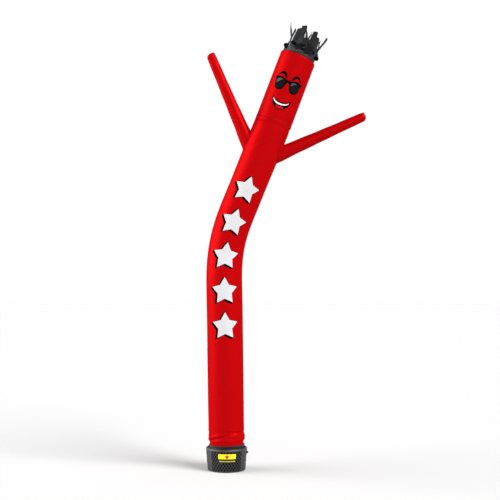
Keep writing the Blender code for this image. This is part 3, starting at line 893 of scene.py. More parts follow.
arm_rows = []
arm_angles = [360 * i / ARM_COLUMNS for i in range(ARM_COLUMNS)]
free = ARM_LENGTH - ARM_TIP
for name, side, raised, shoulder in ARMS:
    place = arm_frames[name]
    near = shoulder + 0.2
    roots = [root_reach(place, side, angle, near) for angle in arm_angles]
    rows = [[root + (ARM_FREE - root) * (j / 18) ** 1.35 for root in roots] for j in range(19)]
    rows += [[ARM_FREE + (free - ARM_FREE) * j / 45] * ARM_COLUMNS for j in range(1, 46)]
    rings = [[arm_skin(place, side, reach, a) for reach, a in zip(row, arm_angles)] for row in rows]
    inner = 180 if side > 0 else 0
    for share in TIP_ROWS:
        reach = free + ARM_TIP * share
        rings.append([arm_skin(place, side, reach, a, tip_share(share, a - inner)) for a in arm_angles])
    heights = [(place[0] - sum(ring, Vector()) / len(ring)).length for ring in rings]
    mesh = woven(rings, ARM_CUT_WIDTH, heights)
    close_tip(mesh, ARM_COLUMNS, place[1] * 0.002)
    doubled(fitted(name + "_sleeve", mesh, red_nylon, "red_nylon", name))
    rings, seam = [], []
    for root, angle in zip(roots, arm_angles):
        point = arm_skin(place, side, root, angle)
        out = spoke(angle, place[2], FRONT)
        _, up, tube_angle = above_cloth(point, near)
        under = on_cloth(up, tube_angle)
        tube_out = (on_cloth(up, tube_angle, 0.01) - under).normalized()
        middle = point + out * ROOT_GAP
        rings.append([middle + spoke(60 * k, out, tube_out) * PIPING_RADIUS for k in range(6)])
        outwards = (out - tube_out * out.dot(tube_out)).normalized()
        seam.append((under + tube_out * 0.0003 + outwards * ARM_STITCHES_OFF, tube_out))
    piping = bmesh.new()
    skinned(piping, rings, end_to_end=True)
    bmesh.ops.recalc_face_normals(piping, faces=piping.faces)
    fitted(name + "_piping", piping, red_nylon, "red_nylon")
    arm_rows.append(seam + seam[:1])
stitched("armhole_stitches", arm_rows, thread_red, "red_nylon")


# --- Head ---
# The head is a shorter sleeve of the red nylon, sewn on at the neck with two rows of stitches through a
# flat seam. Its top edge rounds in under the crown.

HEAD_ROWS = (
    # from height, to height, rows
    (NECK + SEAM_GAP / 2, 4.540, 16),
    (4.540, HEAD_TOP - 0.060, 34),
    (HEAD_TOP - 0.060, HEAD_TOP, 16),
)
NECK_FELL = (
    # height above the neck, lift off the cloth
    (0.0004, 0.0003), (0.0010, 0.0012), (0.0068, 0.0014), (0.0126, 0.0012), (0.0134, 0.0002),
)
NECK_ROW = 0.0045  # of the flat cloth between its rings
NECK_STITCHES = (0.0035, 0.0100)
NECK_PITCH = 0.0068
NECK_RADIUS = 0.232

head = fitted("head_sleeve", tube_sleeve(HEAD_ROWS), red_nylon, "red_nylon", "tube_head")
doubled(head)
rings = [tube_ring(NECK + off, lift) for off, lift in NECK_FELL]
mesh = woven(rings, CUT_WIDTH, [NECK_ROW * j for j in range(len(rings))])
fitted("neck_seam", mesh, red_nylon, "red_nylon")
angles = [BACK + 360 * share for share in spaced(2 * math.pi * NECK_RADIUS, NECK_PITCH)]
neck_rows = [sewn([(NECK + off, angle) for angle in angles], 0.0015) for off in NECK_STITCHES]
neck_stitches = stitched("neck_stitches", neck_rows, thread_red, "red_nylon")
head_back_stitches = stitched("head_back_stitches", back_seam(*HEAD_SEAM), thread_red, "red_nylon")


# --- Crown ---
# The head is closed by a cap of crumpled black nylon, slack on top, where the air lifts it into low uneven
# folds.

CROWN_RADIUS = 0.2050
CROWN_COLUMNS = 96
CROWN_CLOTH = 0.0016

BLACK = (0.016, 0.0165, 0.018)
black_nylon = ripstop("black ripstop nylon", BLACK, (0.028, 0.0285, 0.030), 0.50, 0.10, 0.0052, 0.00045)
head_point, head_along, head_across = tilted_frame(HEAD_TOP)


def round_head(angle):
    """The direction out of the head's top at an angle round it."""
    return spoke(angle, head_across, FRONT)


rings, heights = [], []
for above, share, slack in (
    (0.0004, 1.0, 0.0), (0.010, 1.0, 0.3), (0.022, 1.0, 0.5), (0.034, 0.998, 0.6), (0.041, 0.99, 0.7),
    (0.0455, 0.972, 1.0), (0.048, 0.94, 1.4), (0.050, 0.88, 1.9), (0.052, 0.80, 2.3), (0.054, 0.70, 2.5),
    (0.056, 0.58, 2.5), (0.058, 0.45, 2.3), (0.059, 0.31, 2.0), (0.060, 0.17, 1.4), (0.060, 0.05, 0.8),
):
    ring = []
    for i in range(CROWN_COLUMNS):
        out = round_head(BACK + 360 * i / CROWN_COLUMNS)
        folded = noise.noise(out * share * 5.0 + UP * above * 9)
        folded += 0.5 * noise.noise(out * share * 12.0 + UP * 3)
        sunk = min(0.0, folded) * slack
        drop = 0.006 * sunk if share < 0.98 else 0.0
        radius = CROWN_RADIUS * share + (0.004 * sunk if share > 0.9 else 0.0)
        ring.append(head_point + head_along * (above + drop) + out * radius)
    rings.append(ring)
    heights.append(above + CROWN_RADIUS * (1 - share))
mesh = woven(rings, 2 * math.pi * CROWN_RADIUS, heights)
close_tip(mesh, CROWN_COLUMNS)
crown = doubled(fitted("crown_cap", mesh, black_nylon, "black_nylon", "crown"), CROWN_CLOTH)


# --- Hair ---
# Strips of black nylon, cut with a hot knife, are caught in a gathered heading tape that is sewn round the
# crown. The air blows them up and curls their ends. Flared bits of the tape and knotted strip ends stand
# out round it. The gathered mass over the tape and the knots are darker copies of the strip nylon, painted
# shade for where the strips overlap and fold, and thin near-black flaps among the knots are painted fold
# shadows.

TAPE_INNER = 0.2058
TAPE_OUTER = 0.2102
TAPE_LOW = 0.0045
TAPE_HIGH = 0.050
TAPE_COLUMNS = 240
TAPE_CUT_LENGTH = 1.32
TAPE_ROW = 0.006  # of the flat tape between its rings
TAPE_STITCHES = (0.012, 0.0185)  # above the head's top
TAPE_PITCH = 0.0075
PLEAT_DEPTH = 0.0030
ROOT = 0.034
STRIP_THICKNESS = 0.0012
FRONT_STRIPS = (
    # places up the strip's middle as (across the head, up from its top, width), lean outwards and turn at
    # the end in degrees, how far its end curls over, how much lower its end is cut on the right
    (((-0.190, 0.050, 0.016), (-0.171, 0.106, 0.020), (-0.163, 0.149, 0.019), (-0.163, 0.186, 0.017),
      (-0.182, 0.227, 0.016), (-0.200, 0.267, 0.016), (-0.218, 0.307, 0.007), (-0.226, 0.338, 0.007),
      (-0.236, 0.370, 0.006)), 2, 20, 0.0, 0.0),
    (((-0.176, 0.050, 0.026), (-0.164, 0.114, 0.022), (-0.160, 0.173, 0.022), (-0.158, 0.213, 0.021),
      (-0.154, 0.240, 0.023), (-0.151, 0.264, 0.025), (-0.150, 0.287, 0.022),
      (-0.158, 0.314, 0.006)), -3, 24, 0.006, 0.0),
    (((-0.112, 0.050, 0.082), (-0.105, 0.133, 0.077), (-0.102, 0.167, 0.078), (-0.102, 0.194, 0.080),
      (-0.101, 0.233, 0.067), (-0.101, 0.272, 0.058), (-0.102, 0.292, 0.054),
      (-0.108, 0.305, 0.039)), 3, -12, 0.01, -0.01),
    (((-0.046, 0.050, 0.084), (-0.036, 0.174, 0.073), (-0.039, 0.220, 0.060), (-0.044, 0.252, 0.062),
      (-0.047, 0.290, 0.066), (-0.049, 0.323, 0.068), (-0.055, 0.358, 0.056)), -2, 10, 0.018, -0.018),
    (((0.022, 0.050, 0.078), (0.022, 0.159, 0.066), (0.016, 0.192, 0.055), (0.016, 0.213, 0.040),
      (0.014, 0.235, 0.028), (0.008, 0.257, 0.023), (-0.000, 0.276, 0.017), (-0.013, 0.298, 0.015),
      (-0.017, 0.316, 0.013)), 4, -18, -0.004, 0.0),
    (((0.050, 0.050, 0.060), (0.046, 0.188, 0.055), (0.044, 0.215, 0.030), (0.045, 0.231, 0.022),
      (0.048, 0.249, 0.018), (0.053, 0.267, 0.014), (0.056, 0.283, 0.012), (0.056, 0.300, 0.007),
      (0.052, 0.326, 0.004)), -4, 24, 0.004, 0.0),
    (((0.100, 0.050, 0.092), (0.100, 0.202, 0.078), (0.101, 0.249, 0.073), (0.104, 0.293, 0.069),
      (0.103, 0.316, 0.061), (0.095, 0.337, 0.045)), 1, 8, 0.012, 0.009),
    (((0.156, 0.050, 0.062), (0.159, 0.173, 0.055), (0.154, 0.223, 0.053), (0.151, 0.254, 0.051),
      (0.147, 0.273, 0.043), (0.145, 0.283, 0.038)), 5, -14, 0.016, 0.011),
    (((0.194, 0.050, 0.022), (0.206, 0.160, 0.020), (0.199, 0.201, 0.022), (0.192, 0.232, 0.023),
      (0.189, 0.249, 0.020), (0.191, 0.266, 0.014), (0.193, 0.278, 0.008),
      (0.200, 0.294, 0.004)), -2, 10, 0.0, 0.0),
    (((0.190, 0.050, 0.030), (0.189, 0.110, 0.026), (0.195, 0.139, 0.024), (0.207, 0.171, 0.021),
      (0.221, 0.201, 0.018), (0.232, 0.231, 0.019), (0.242, 0.262, 0.019), (0.250, 0.292, 0.020),
      (0.258, 0.321, 0.020), (0.259, 0.339, 0.014)), 0, 0, 0.0, 0.0),
    (((-0.204, 0.050, 0.016), (-0.172, 0.088, 0.016), (-0.124, 0.148, 0.016), (-0.096, 0.235, 0.015),
      (-0.094, 0.296, 0.012)), 0, 6, 0.0, 0.004),
    (((0.204, 0.050, 0.016), (0.180, 0.080, 0.016), (0.148, 0.130, 0.016), (0.124, 0.210, 0.015),
      (0.122, 0.272, 0.012)), 0, -6, 0.0, -0.004),
)
BACK_STRIPS = (
    (((-0.204, 0.050, 0.016), (-0.178, 0.092, 0.016), (-0.118, 0.140, 0.016), (-0.082, 0.220, 0.015),
      (-0.072, 0.284, 0.012)), 0, -6, 0.0, -0.006),
    (((0.204, 0.050, 0.016), (0.176, 0.084, 0.016), (0.138, 0.124, 0.016), (0.110, 0.200, 0.015),
      (0.108, 0.256, 0.012)), 0, 6, 0.0, 0.006),
    (((-0.188, 0.050, 0.030), (-0.192, 0.100, 0.028), (-0.196, 0.130, 0.024)), 8, 20, 0.010, 0.004),
    (((-0.150, 0.050, 0.040), (-0.148, 0.130, 0.034), (-0.146, 0.195, 0.030)), -4, -14, 0.008, -0.006),
    (((-0.104, 0.050, 0.050), (-0.100, 0.200, 0.044), (-0.104, 0.330, 0.036)), 5, 12, 0.010, 0.008),
    (((-0.056, 0.050, 0.060), (-0.052, 0.220, 0.052), (-0.056, 0.365, 0.046)), -1, -10, 0.014, -0.006),
    (((-0.012, 0.050, 0.054), (-0.008, 0.180, 0.044), (-0.010, 0.265, 0.034)), 6, 14, 0.008, 0.006),
    (((0.028, 0.050, 0.056), (0.022, 0.190, 0.044), (0.012, 0.300, 0.028)), -3, -16, 0.010, 0.010),
    (((0.086, 0.050, 0.060), (0.092, 0.210, 0.052), (0.094, 0.345, 0.046)), 4, 8, 0.012, -0.008),
    (((0.136, 0.050, 0.052), (0.140, 0.190, 0.046), (0.142, 0.300, 0.040)), -2, -12, 0.012, 0.008),
    (((0.180, 0.050, 0.034), (0.186, 0.110, 0.030), (0.190, 0.160, 0.022)), 9, 18, 0.006, 0.004),
)
FLAPS = (
    # piece, its cloth, how far it stands out, outlines as (across the head, up from its top)
    # The gathered mass is in a darker copy of the strip nylon: painted shade where the strips overlap.
    ("hair_gathers_painted_shade", "gathered strip nylon with painted shade", 0.003, (
        ((-0.040, 0.034), (-0.002, 0.066), (0.039, 0.063), (0.060, 0.038), (0.077, 0.035),
         (0.113, 0.040), (0.152, 0.055), (0.163, 0.077), (0.174, 0.117), (0.170, 0.154),
         (0.136, 0.181), (0.019, 0.165), (-0.065, 0.109), (-0.082, 0.069)),
    )),
    ("tape_frills", "heading tape nylon", 0.006, (
        ((-0.174, 0.003), (-0.179, 0.018), (-0.174, 0.039), (-0.163, 0.059), (-0.146, 0.069),
         (-0.122, 0.065), (-0.100, 0.060), (-0.076, 0.052), (-0.045, 0.040), (-0.027, 0.054),
         (0.005, 0.055), (0.043, 0.046), (0.047, 0.035), (0.005, 0.014), (-0.038, 0.015),
         (-0.094, 0.010)),
        ((-0.185, 0.105), (-0.173, 0.129), (-0.156, 0.158), (-0.148, 0.143), (-0.149, 0.124),
         (-0.150, 0.106), (-0.170, 0.098)),
        ((0.157, 0.034), (0.170, 0.075), (0.178, 0.099), (0.176, 0.125), (0.185, 0.143),
         (0.203, 0.140), (0.214, 0.122), (0.226, 0.104), (0.235, 0.081), (0.215, 0.066),
         (0.204, 0.037), (0.180, 0.015)),
        ((0.017, 0.100), (0.035, 0.109), (0.046, 0.102), (0.034, 0.090), (0.011, 0.082)),
    )),
    # The knots are in a near-black copy of the strip nylon, painted shade; its small thin outlines are
    # painted fold shadows.
    ("hair_knots_and_painted_fold_shadows", "knotted strip nylon with painted shade", 0.014, (
        ((-0.174, 0.053), (-0.166, 0.026), (-0.186, 0.029), (-0.213, 0.053), (-0.225, 0.067),
         (-0.222, 0.086), (-0.214, 0.100), (-0.199, 0.103), (-0.172, 0.096), (-0.151, 0.079),
         (-0.167, 0.069)),
        ((0.184, 0.046), (0.204, 0.071), (0.224, 0.082), (0.241, 0.076), (0.250, 0.057),
         (0.252, 0.040), (0.243, 0.025), (0.226, 0.021), (0.203, 0.024)),
        ((-0.150, 0.123), (-0.138, 0.138), (-0.118, 0.138), (-0.075, 0.114), (-0.068, 0.086),
         (-0.088, 0.078), (-0.114, 0.095), (-0.138, 0.099)),
        ((-0.014, 0.107), (0.013, 0.124), (0.043, 0.137), (0.045, 0.125), (0.018, 0.111),
         (-0.009, 0.098)),
        ((0.004, 0.060), (0.019, 0.073), (0.039, 0.076), (0.039, 0.062), (0.021, 0.053)),
        ((0.159, 0.087), (0.164, 0.109), (0.174, 0.124), (0.180, 0.114), (0.175, 0.084),
         (0.164, 0.075)),
    )),
)
STRIP_COLUMNS = 6
STRIP_HALF = 0.025  # half a strip's width on the flat cloth
STRIP_ROW = 0.012

hair_cloths = {
    name: ripstop(name, colour, faded, roughness, gloss, 0.0050, 0.00050)
    for name, colour, faded, roughness, gloss in (
        ("black strip nylon", (0.018, 0.0182, 0.019), (0.046, 0.0465, 0.048), 0.52, 0.10),
        # Darker copy of the strip nylon: painted shade for the gathered mass.
        ("gathered strip nylon with painted shade", (0.007, 0.0072, 0.008), (0.018, 0.0185, 0.020), 0.56, 0.06),
        # Near-black copy of the strip nylon: painted shade for the knots and their folds.
        ("knotted strip nylon with painted shade", (0.0010, 0.0010, 0.0012), (0.004, 0.004, 0.0045), 0.60, 0.04),
        ("heading tape nylon", (0.028, 0.032, 0.033), (0.068, 0.073, 0.073), 0.42, 0.30),
    )
}
_, blown, blown_across = tube_frame(HEAD_TOP)


def curve(points, steps=5):
    """A smooth line through points."""
    found = []
    for i in range(len(points) - 1):
        before, a = points[max(i - 1, 0)], points[i]
        b, after = points[i + 1], points[min(i + 2, len(points) - 1)]
        for step in range(steps):
            t = step / steps
            found.append(tuple(
                0.5 * (2 * q + (r - p) * t + (2 * p - 5 * q + 4 * r - s) * t * t
                       + (3 * q - p - 3 * r + s) * t ** 3)
                for p, q, r, s in zip(before, a, b, after)
            ))
    return found + [points[-1]]


def strip_places(middle_line, facing, outwards, turn, curl):
    """A strip's places from its root in the tape: (point, direction across, direction out, share, width)."""
    mean = (TAPE_INNER + TAPE_OUTER) / 2
    root_across = max(-0.98 * mean, min(0.98 * mean, middle_line[0][0]))
    angle = math.degrees(math.atan2(facing * math.sqrt(mean * mean - root_across * root_across), root_across))
    root = round_head(angle) * mean
    points = [head_point + head_along * ROOT + root]
    widths = [middle_line[0][2]]
    length = middle_line[-1][1]
    for across, up, width in curve(middle_line, 6):
        share = (up - 0.05) / (length - 0.05)
        stands_out = math.tan(math.radians(outwards)) * (up - 0.05) + curl * max(0.0, share - 0.55) ** 2 / 0.2
        deep = root.dot(FRONT) + facing * stands_out
        points.append(head_point + blown_across * across + blown * up + FRONT * deep)
        widths.append(width)
    tangent = blown.cross(spoke(angle, blown_across, FRONT)) * facing
    to_front = 0.6 if abs(root_across) < 0.17 else 0.0
    places = []
    for i, (point, width) in enumerate(zip(points, widths)):
        heading = (points[min(i + 1, len(points) - 1)] - points[max(i - 1, 0)]).normalized()
        share = i / (len(points) - 1)
        wide = tangent.lerp(blown_across, to_front * smooth(share * 3))
        wide = (wide - heading * wide.dot(heading)).normalized()
        wide = Matrix.Rotation(math.radians(turn) * share, 3, heading) @ wide
        places.append((point, wide, wide.cross(heading), share, width / max(0.36, wide.dot(blown_across))))
    return places


def add_strip(mesh, places, offset, slant):
    """Adds one strip to the hair, bowed and crumpled, with its end cut at a slant."""
    sides = [1 - 2 * i / STRIP_COLUMNS for i in range(STRIP_COLUMNS + 1)]
    rows = []
    for point, wide, out, share, width in places:
        free = smooth(share * 4)
        row = []
        for side in sides:
            bowl = 0.11 * width * free * (side * side - 0.35) * math.sin(offset * 1.7)
            crumple = 0.0060 * free * noise.noise(Vector((side * 0.7 + offset, share * 4.2, offset * 3.1)))
            crumple += 0.0030 * free * noise.noise(Vector((side * 2.0, share * 13.0, offset * 1.3)))
            edge = width / 2 * side * (1 + 0.08 * free * noise.noise(Vector((share * 6, offset, side))))
            up = wide.cross(out) * (slant / 2 * side + 0.05 * width * abs(side)) if share == 1 else Vector()
            row.append(point + wide * edge + out * (bowl + crumple) + up)
        rows.append(row)
    skinned(mesh, rows, around=False, flat=lambda i, j: (offset + sides[i] * STRIP_HALF, j * STRIP_ROW))


def over_tape(x, y, lift):
    """The crumpled place of a flap's point before the tape: x across the head, y up from its top."""
    deep = math.sqrt(max(0.004, TAPE_OUTER * TAPE_OUTER - x * x))
    crumple = 0.010 * noise.noise(Vector((x * 26, y * 30, lift * 90)))
    crumple += 0.005 * noise.noise(Vector((x * 70, y * 60, 2.0)))
    stands_out = lift + max(-0.4 * lift, crumple * min(1.0, lift / 0.006))
    return head_point + blown_across * x + blown * y + FRONT * (deep + stands_out)


mesh = bmesh.new()
for facing, strips in ((1, FRONT_STRIPS), (-1, BACK_STRIPS)):
    for k, (middle_line, outwards, turn, curl, slant) in enumerate(strips):
        places = strip_places(middle_line, facing, outwards, turn, curl)
        add_strip(mesh, places, 1.7 * k + 3.1 * facing, slant)
hair = fitted("hair_strips", mesh, hair_cloths["black strip nylon"], "black_nylon", "streamer_hair")
doubled(hair, STRIP_THICKNESS, 0)
for name, cloth_name, stands_out, outlines in FLAPS:
    mesh = laid_on([list(outline) for outline in outlines], over_tape, stands_out, 0.006)
    doubled(fitted(name, mesh, hair_cloths[cloth_name], "black_nylon"), STRIP_THICKNESS, 0)


def pleat(out, above):
    """How far a pleat of the gathered tape stands out, this far above the head's top."""
    fold = noise.noise(out * 9.0 + head_along * above * 20)
    return PLEAT_DEPTH * (fold + 0.6 * noise.noise(out * 22.0 + head_along * above * 30))


rings = []
for above, radius, gathered in (
    (TAPE_LOW, TAPE_INNER, 0.0), (TAPE_LOW, TAPE_OUTER - 0.001, 0.4), (TAPE_LOW + 0.0015, TAPE_OUTER, 0.8),
    (0.014, TAPE_OUTER, 1.0), (0.024, TAPE_OUTER, 1.0), (0.034, TAPE_OUTER, 1.0), (0.042, TAPE_OUTER, 1.0),
    (TAPE_HIGH - 0.001, TAPE_OUTER - 0.0003, 0.9), (TAPE_HIGH, TAPE_OUTER - 0.001, 0.7),
    (TAPE_HIGH, TAPE_INNER, 0.0),
):
    ring = []
    for i in range(TAPE_COLUMNS):
        out = round_head(BACK + 360 * i / TAPE_COLUMNS)
        rough_edge = 0.003 * noise.noise(out * 7.0) if above > 0.045 else 0.0012 * noise.noise(out * 11.0)
        reach = radius + gathered * pleat(out, above)
        ring.append(head_point + head_along * (above + rough_edge) + out * reach)
    rings.append(ring)
mesh = bmesh.new()
skinned(mesh, rings, end_to_end=True, flat=lambda i, j: (TAPE_CUT_LENGTH * i / TAPE_COLUMNS, TAPE_ROW * j))
tape = fitted("heading_tape", mesh, hair_cloths["heading tape nylon"], "black_nylon")
thread_black = enamel("black sewing thread", (0.020, 0.020, 0.022), (0.035, 0.035, 0.037))
tape_rows = []
for above in TAPE_STITCHES:
    row = []
    for share in spaced(2 * math.pi * TAPE_OUTER, TAPE_PITCH):
        out = round_head(BACK + 360 * share)
        reach = TAPE_OUTER + 0.0003 + pleat(out, above)
        row.append((head_point + head_along * above + out * reach, out))
    tape_rows.append(row)
tape_stitches = stitched("heading_tape_stitches", tape_rows, thread_black, "black_nylon")


# --- Printed face ---
# A plain smiling face in dark glasses is printed on the front of the head in black, grey, white and red
# ink, which lies on the cloth as a thin film and shows its weave.

BLACK_INK_LIFT = 0.0005
COLOUR_INK_LIFT = 0.0009
TOP_INK_LIFT = 0.0013
PRINT_RADIUS = 0.230  # of the tube where the print's width is measured
FACE_MIDDLE = 0.003


def over_cloth(x, y, lift):
    """The point over the tube's front for a place in the print: x to the right, y up the tube."""
    return on_cloth(y, 90 - math.degrees(x / PRINT_RADIUS), lift)


def mirrored(outline):
    return [(-x, y) for x, y in reversed(outline)]


def rounded(*runs):
    """A closed outline of smooth lines, each from a run of points to the start of the next run."""
    outline = []
    for run, following in zip(runs, runs[1:] + runs[:1]):
        outline += curve(run + following[:1])[:-1]
    return outline


def on_face(outline):
    return [(x + FACE_MIDDLE, y) for x, y in outline]


def ink(name, colour, roughness, weave_tint):
    """Screen ink on nylon: an even film with the cloth's weave and grid just showing through it."""
    worn = tuple(part * weave_tint for part in colour)
    return ripstop(name, colour, worn, roughness, 0.03, RED_SQUARE, 0.00025)


black_ink = ink("black ink", (0.0010, 0.0009, 0.0010), 0.66, 1.6)
grey_ink = ink("lens grey ink", (0.0036, 0.0036, 0.0050), 0.60, 2.2)
shine_ink = ink("lens shine ink", (0.086, 0.084, 0.098), 0.55, 0.7)
white_ink = ink("white ink", (0.69, 0.69, 0.70), 0.55, 0.97)
tongue_ink = ink("tongue ink", (0.62, 0.010, 0.012), 0.55, 0.8)

brow = rounded(
    [(0.028, 5.004), (0.036, 5.026), (0.060, 5.064), (0.090, 5.077), (0.120, 5.070)],
    [(0.165, 5.024), (0.148, 5.018), (0.116, 5.036), (0.092, 5.042), (0.074, 5.031), (0.056, 5.010),
     (0.040, 4.999)],
)
glasses_side = (
    curve([(0.0, 4.981), (0.024, 4.983), (0.058, 4.994), (0.104, 5.005), (0.150, 5.004), (0.186, 4.996)])
    + curve([(0.186, 4.996), (0.191, 4.984), (0.186, 4.968), (0.172, 4.962)])[1:]
    + curve([(0.172, 4.962), (0.171, 4.924), (0.160, 4.879), (0.134, 4.846), (0.100, 4.835), (0.064, 4.844),
             (0.040, 4.868), (0.027, 4.905), (0.017, 4.938), (0.0, 4.950)])[1:]
)
glasses = glasses_side + mirrored(glasses_side)[1:-1]
lens = rounded([
    (0.040, 4.974), (0.076, 4.984), (0.118, 4.989), (0.150, 4.982), (0.159, 4.958), (0.155, 4.914),
    (0.142, 4.874), (0.112, 4.853), (0.080, 4.856), (0.054, 4.880), (0.038, 4.920), (0.034, 4.956),
])
shine = rounded([
    (-0.150, 4.972), (-0.112, 4.980), (-0.074, 4.974), (-0.098, 4.958), (-0.126, 4.934), (-0.150, 4.914),
    (-0.154, 4.944),
])
small_shine = rounded([
    (0.048, 4.966), (0.078, 4.976), (0.112, 4.974), (0.090, 4.962), (0.066, 4.944), (0.046, 4.926),
    (0.042, 4.946),
])
lip = [(-0.130, 4.768), (-0.118, 4.748), (-0.088, 4.721), (-0.046, 4.703)]
chin = [(0.123, 4.722), (0.102, 4.668), (0.066, 4.627), (0.024, 4.607)]
grin = rounded(lip + [(0.0, 4.697)] + mirrored(lip[1:]), [(0.130, 4.768)] + chin + mirrored(chin))
teeth = rounded(
    [(-0.108, 4.730), (-0.084, 4.704), (-0.046, 4.686), (0.0, 4.680), (0.046, 4.686), (0.080, 4.700)],
    [(0.101, 4.720), (0.098, 4.703), (0.078, 4.682), (0.042, 4.666), (0.0, 4.659), (-0.042, 4.665),
     (-0.080, 4.682), (-0.104, 4.707)],
)
tongue = rounded([
    (-0.054, 4.640), (-0.028, 4.645), (0.0, 4.639), (0.028, 4.645), (0.054, 4.640), (0.040, 4.625),
    (0.0, 4.616), (-0.040, 4.625),
])
face_prints = [
    fitted(name, laid_on(map(on_face, outlines), over_cloth, lift, 0.010), material, "red_nylon")
    for name, outlines, lift, material in (
        ("face_black_print", [brow, mirrored(brow), glasses, grin], BLACK_INK_LIFT, black_ink),
        ("lens_print", [lens, mirrored(lens)], COLOUR_INK_LIFT, grey_ink),
        ("lens_shine_print", [shine, small_shine], TOP_INK_LIFT, shine_ink),
        ("teeth_print", [teeth], COLOUR_INK_LIFT, white_ink),
        ("tongue_print", [tongue], COLOUR_INK_LIFT, tongue_ink),
    )
]


# --- Printed stars ---
# Plain five-pointed stars run down the front of the body, white with a thin black outline and a black block
# shadow to the left and below. Each white star is greyer inside its clean white border.

STAR_HEIGHTS = (3.532, 3.098, 2.664, 2.230, 1.796)
STAR_MIDDLE = 0.010
STAR_RADIUS = 0.172
STAR_WAIST = 0.545
STAR_OUTLINE = 0.0085
STAR_BORDER = 0.0100
BLOCK_SHADOW = (-0.026, -0.015)

star_grey_ink = ink("star grey ink", (0.56, 0.56, 0.57), 0.55, 0.94)


def swept(outline, x, y):
    """Outlines that together cover this one on its whole way to (x, y)."""
    moved = [(a + x, b + y) for a, b in outline]
    sides = []
    for i in range(len(outline)):
        k = (i + 1) % len(outline)
        side = [outline[i], outline[k], moved[k], moved[i]]
        area = sum(p[0] * q[1] - q[0] * p[1] for p, q in zip(side, side[1:] + side[:1]))
        sides.append(side if area > 0 else side[::-1])
    return [outline, moved] + sides


black_stars, white_stars, grey_stars = [], [], []
for height in STAR_HEIGHTS:
    black_stars += swept(star(STAR_MIDDLE, height, STAR_RADIUS + STAR_OUTLINE, STAR_WAIST), *BLOCK_SHADOW)
    white_stars.append(star(STAR_MIDDLE, height, STAR_RADIUS, STAR_WAIST))
    grey_stars.append(star(STAR_MIDDLE, height, STAR_RADIUS - STAR_BORDER, STAR_WAIST))
star_prints = [
    fitted(name, laid_on(outlines, over_cloth, lift, 0.014), material, "red_nylon")
    for name, outlines, lift, material in (
        ("star_shadow_print", black_stars, BLACK_INK_LIFT, black_ink),
        ("star_print", white_stars, COLOUR_INK_LIFT, white_ink),
        ("star_inner_print", grey_stars, TOP_INK_LIFT, star_grey_ink),
    )
]


# --- Strap ---
# A strap of black webbing with a satin face draws the gathered hem in on the air outlet. Its loose end is
# folded over and sewn down on the right. A round black toggle on each side, where the strap meets the
# drum's shoulder, is painted shade: it stands in for the dark gap there.

STRAP_RADIUS = 0.2215
STRAP_THICKNESS = 0.0060
STRAP_LOW = 0.291
STRAP_HIGH = 0.321
STRAP_TILT = 0.005  # the strap's top edge is this much higher on the right and lower on the left
STRAP_COLUMNS = 160
END_SPAN = (-14.0, 6.0)
END_COLUMNS = 14
END_LIFT = 0.0003
END_THICKNESS = 0.003
END_MARGIN = 0.006
END_STITCHES_IN = 0.004
END_STITCHES_TURN = 1.2  # degrees from its ends
END_FOLD = END_SPAN[0] + 7.5
# Two black toggles at the strap's sides stand in for the dark gap there: painted shade.
GAP_SHADE_TOGGLES = ((186, 0.292), (-8, 0.294))  # angle, height
TOGGLE_PROFILE = (
    # reach, radius, no flutes
    (0.0, 0.0, 0), (0.0, 0.0115, 0), (0.0015, 0.0125, 0), (0.0065, 0.0125, 0), (0.0085, 0.0105, 0),
    (0.0095, 0.0, 0),
)
RIB_PITCH = 0.0032
HERRINGBONE = 0.0125  # the width of one row of ribs


def webbing(name, colour, ribbed):
    """Woven webbing: diagonal ribs that meet as a herringbone, with a satin sheen and paler, rubbed ribs."""
    made, tree, shader = finish(name, colour, 0.38, Specular_IOR_Level=0.22)
    place, (along, across) = flat_place(tree)
    bands = calc(tree, "MULTIPLY", calc(tree, "PINGPONG", across, HERRINGBONE), 0.9)
    slanted = calc(tree, "MULTIPLY", calc(tree, "ADD", along, bands), 2 * math.pi / RIB_PITCH)
    rib = node(tree, "MapRange", calc(tree, "SINE", slanted), -1.0, 1.0, 0.0, 1.0)
    cloud = clouds(tree, 14.0, 3.0, 0.6, place)
    worn = calc(tree, "MULTIPLY", rib, node(tree, "MapRange", cloud, 0.40, 0.70, 0.1, 0.8))
    tint(tree, shader, worn, colour, ribbed)
    roughen(tree, shader, cloud, 0.32, 0.50)
    fuzz = calc(tree, "MULTIPLY", clouds(tree, 380.0, 3.0, 0.6, place), 0.35)
    embossed(tree, shader, calc(tree, "ADD", rib, fuzz), 0.5, 0.0005)
    return made


black_webbing = webbing("black webbing", (0.004, 0.006, 0.007), (0.014, 0.020, 0.022))


def webbing_band(inner, outer, low, high, start, span, count):
    """A band of webbing bent round the Z axis, with rounded edges: from start over a span, in degrees."""
    soft = min((outer - inner) / 2, 0.0022)
    corners = (
        (inner, low + soft), (inner + soft * 0.4, low + 0.3 * soft), (inner + soft, low), (outer - soft, low),
        (outer - 0.3 * soft, low + 0.3 * soft), (outer, low + soft), (outer, low * 0.75 + high * 0.25),
        (outer, (low + high) / 2), (outer, low * 0.25 + high * 0.75), (outer, high - soft),
        (outer - 0.3 * soft, high - 0.3 * soft), (outer - soft, high), (inner + soft, high),
        (inner + soft * 0.4, high - 0.3 * soft), (inner, high - soft),
    )
    closed = span >= 360
    sections = []
    for i in range(count if closed else count + 1):
        out = spoke(start + span * i / count)
        uneven = 0.0007 * noise.noise(out * 6.0)
        slack = 0.0009 * noise.noise(out * 3.0 + UP)
        section = []
        for radius, height in corners:
            pushed = uneven if radius > inner + soft / 2 else 0.0
            raised = (STRAP_TILT * out.x - abs(slack)) * (height - low) / (high - low)
            section.append(out * (radius + pushed) + UP * (height + raised))
        sections.append(section)
    length = math.radians(span) * outer
    mesh = bmesh.new()
    ends = skinned(
        mesh, sections, end_to_end=closed,
        flat=lambda k, i: (length * i / count, corners[k % len(corners)][1] - low),
    )
    if not closed:
        mesh.faces.new(ends[0])
        mesh.faces.new(ends[-1])
    bmesh.ops.recalc_face_normals(mesh, faces=mesh.faces)
    return mesh


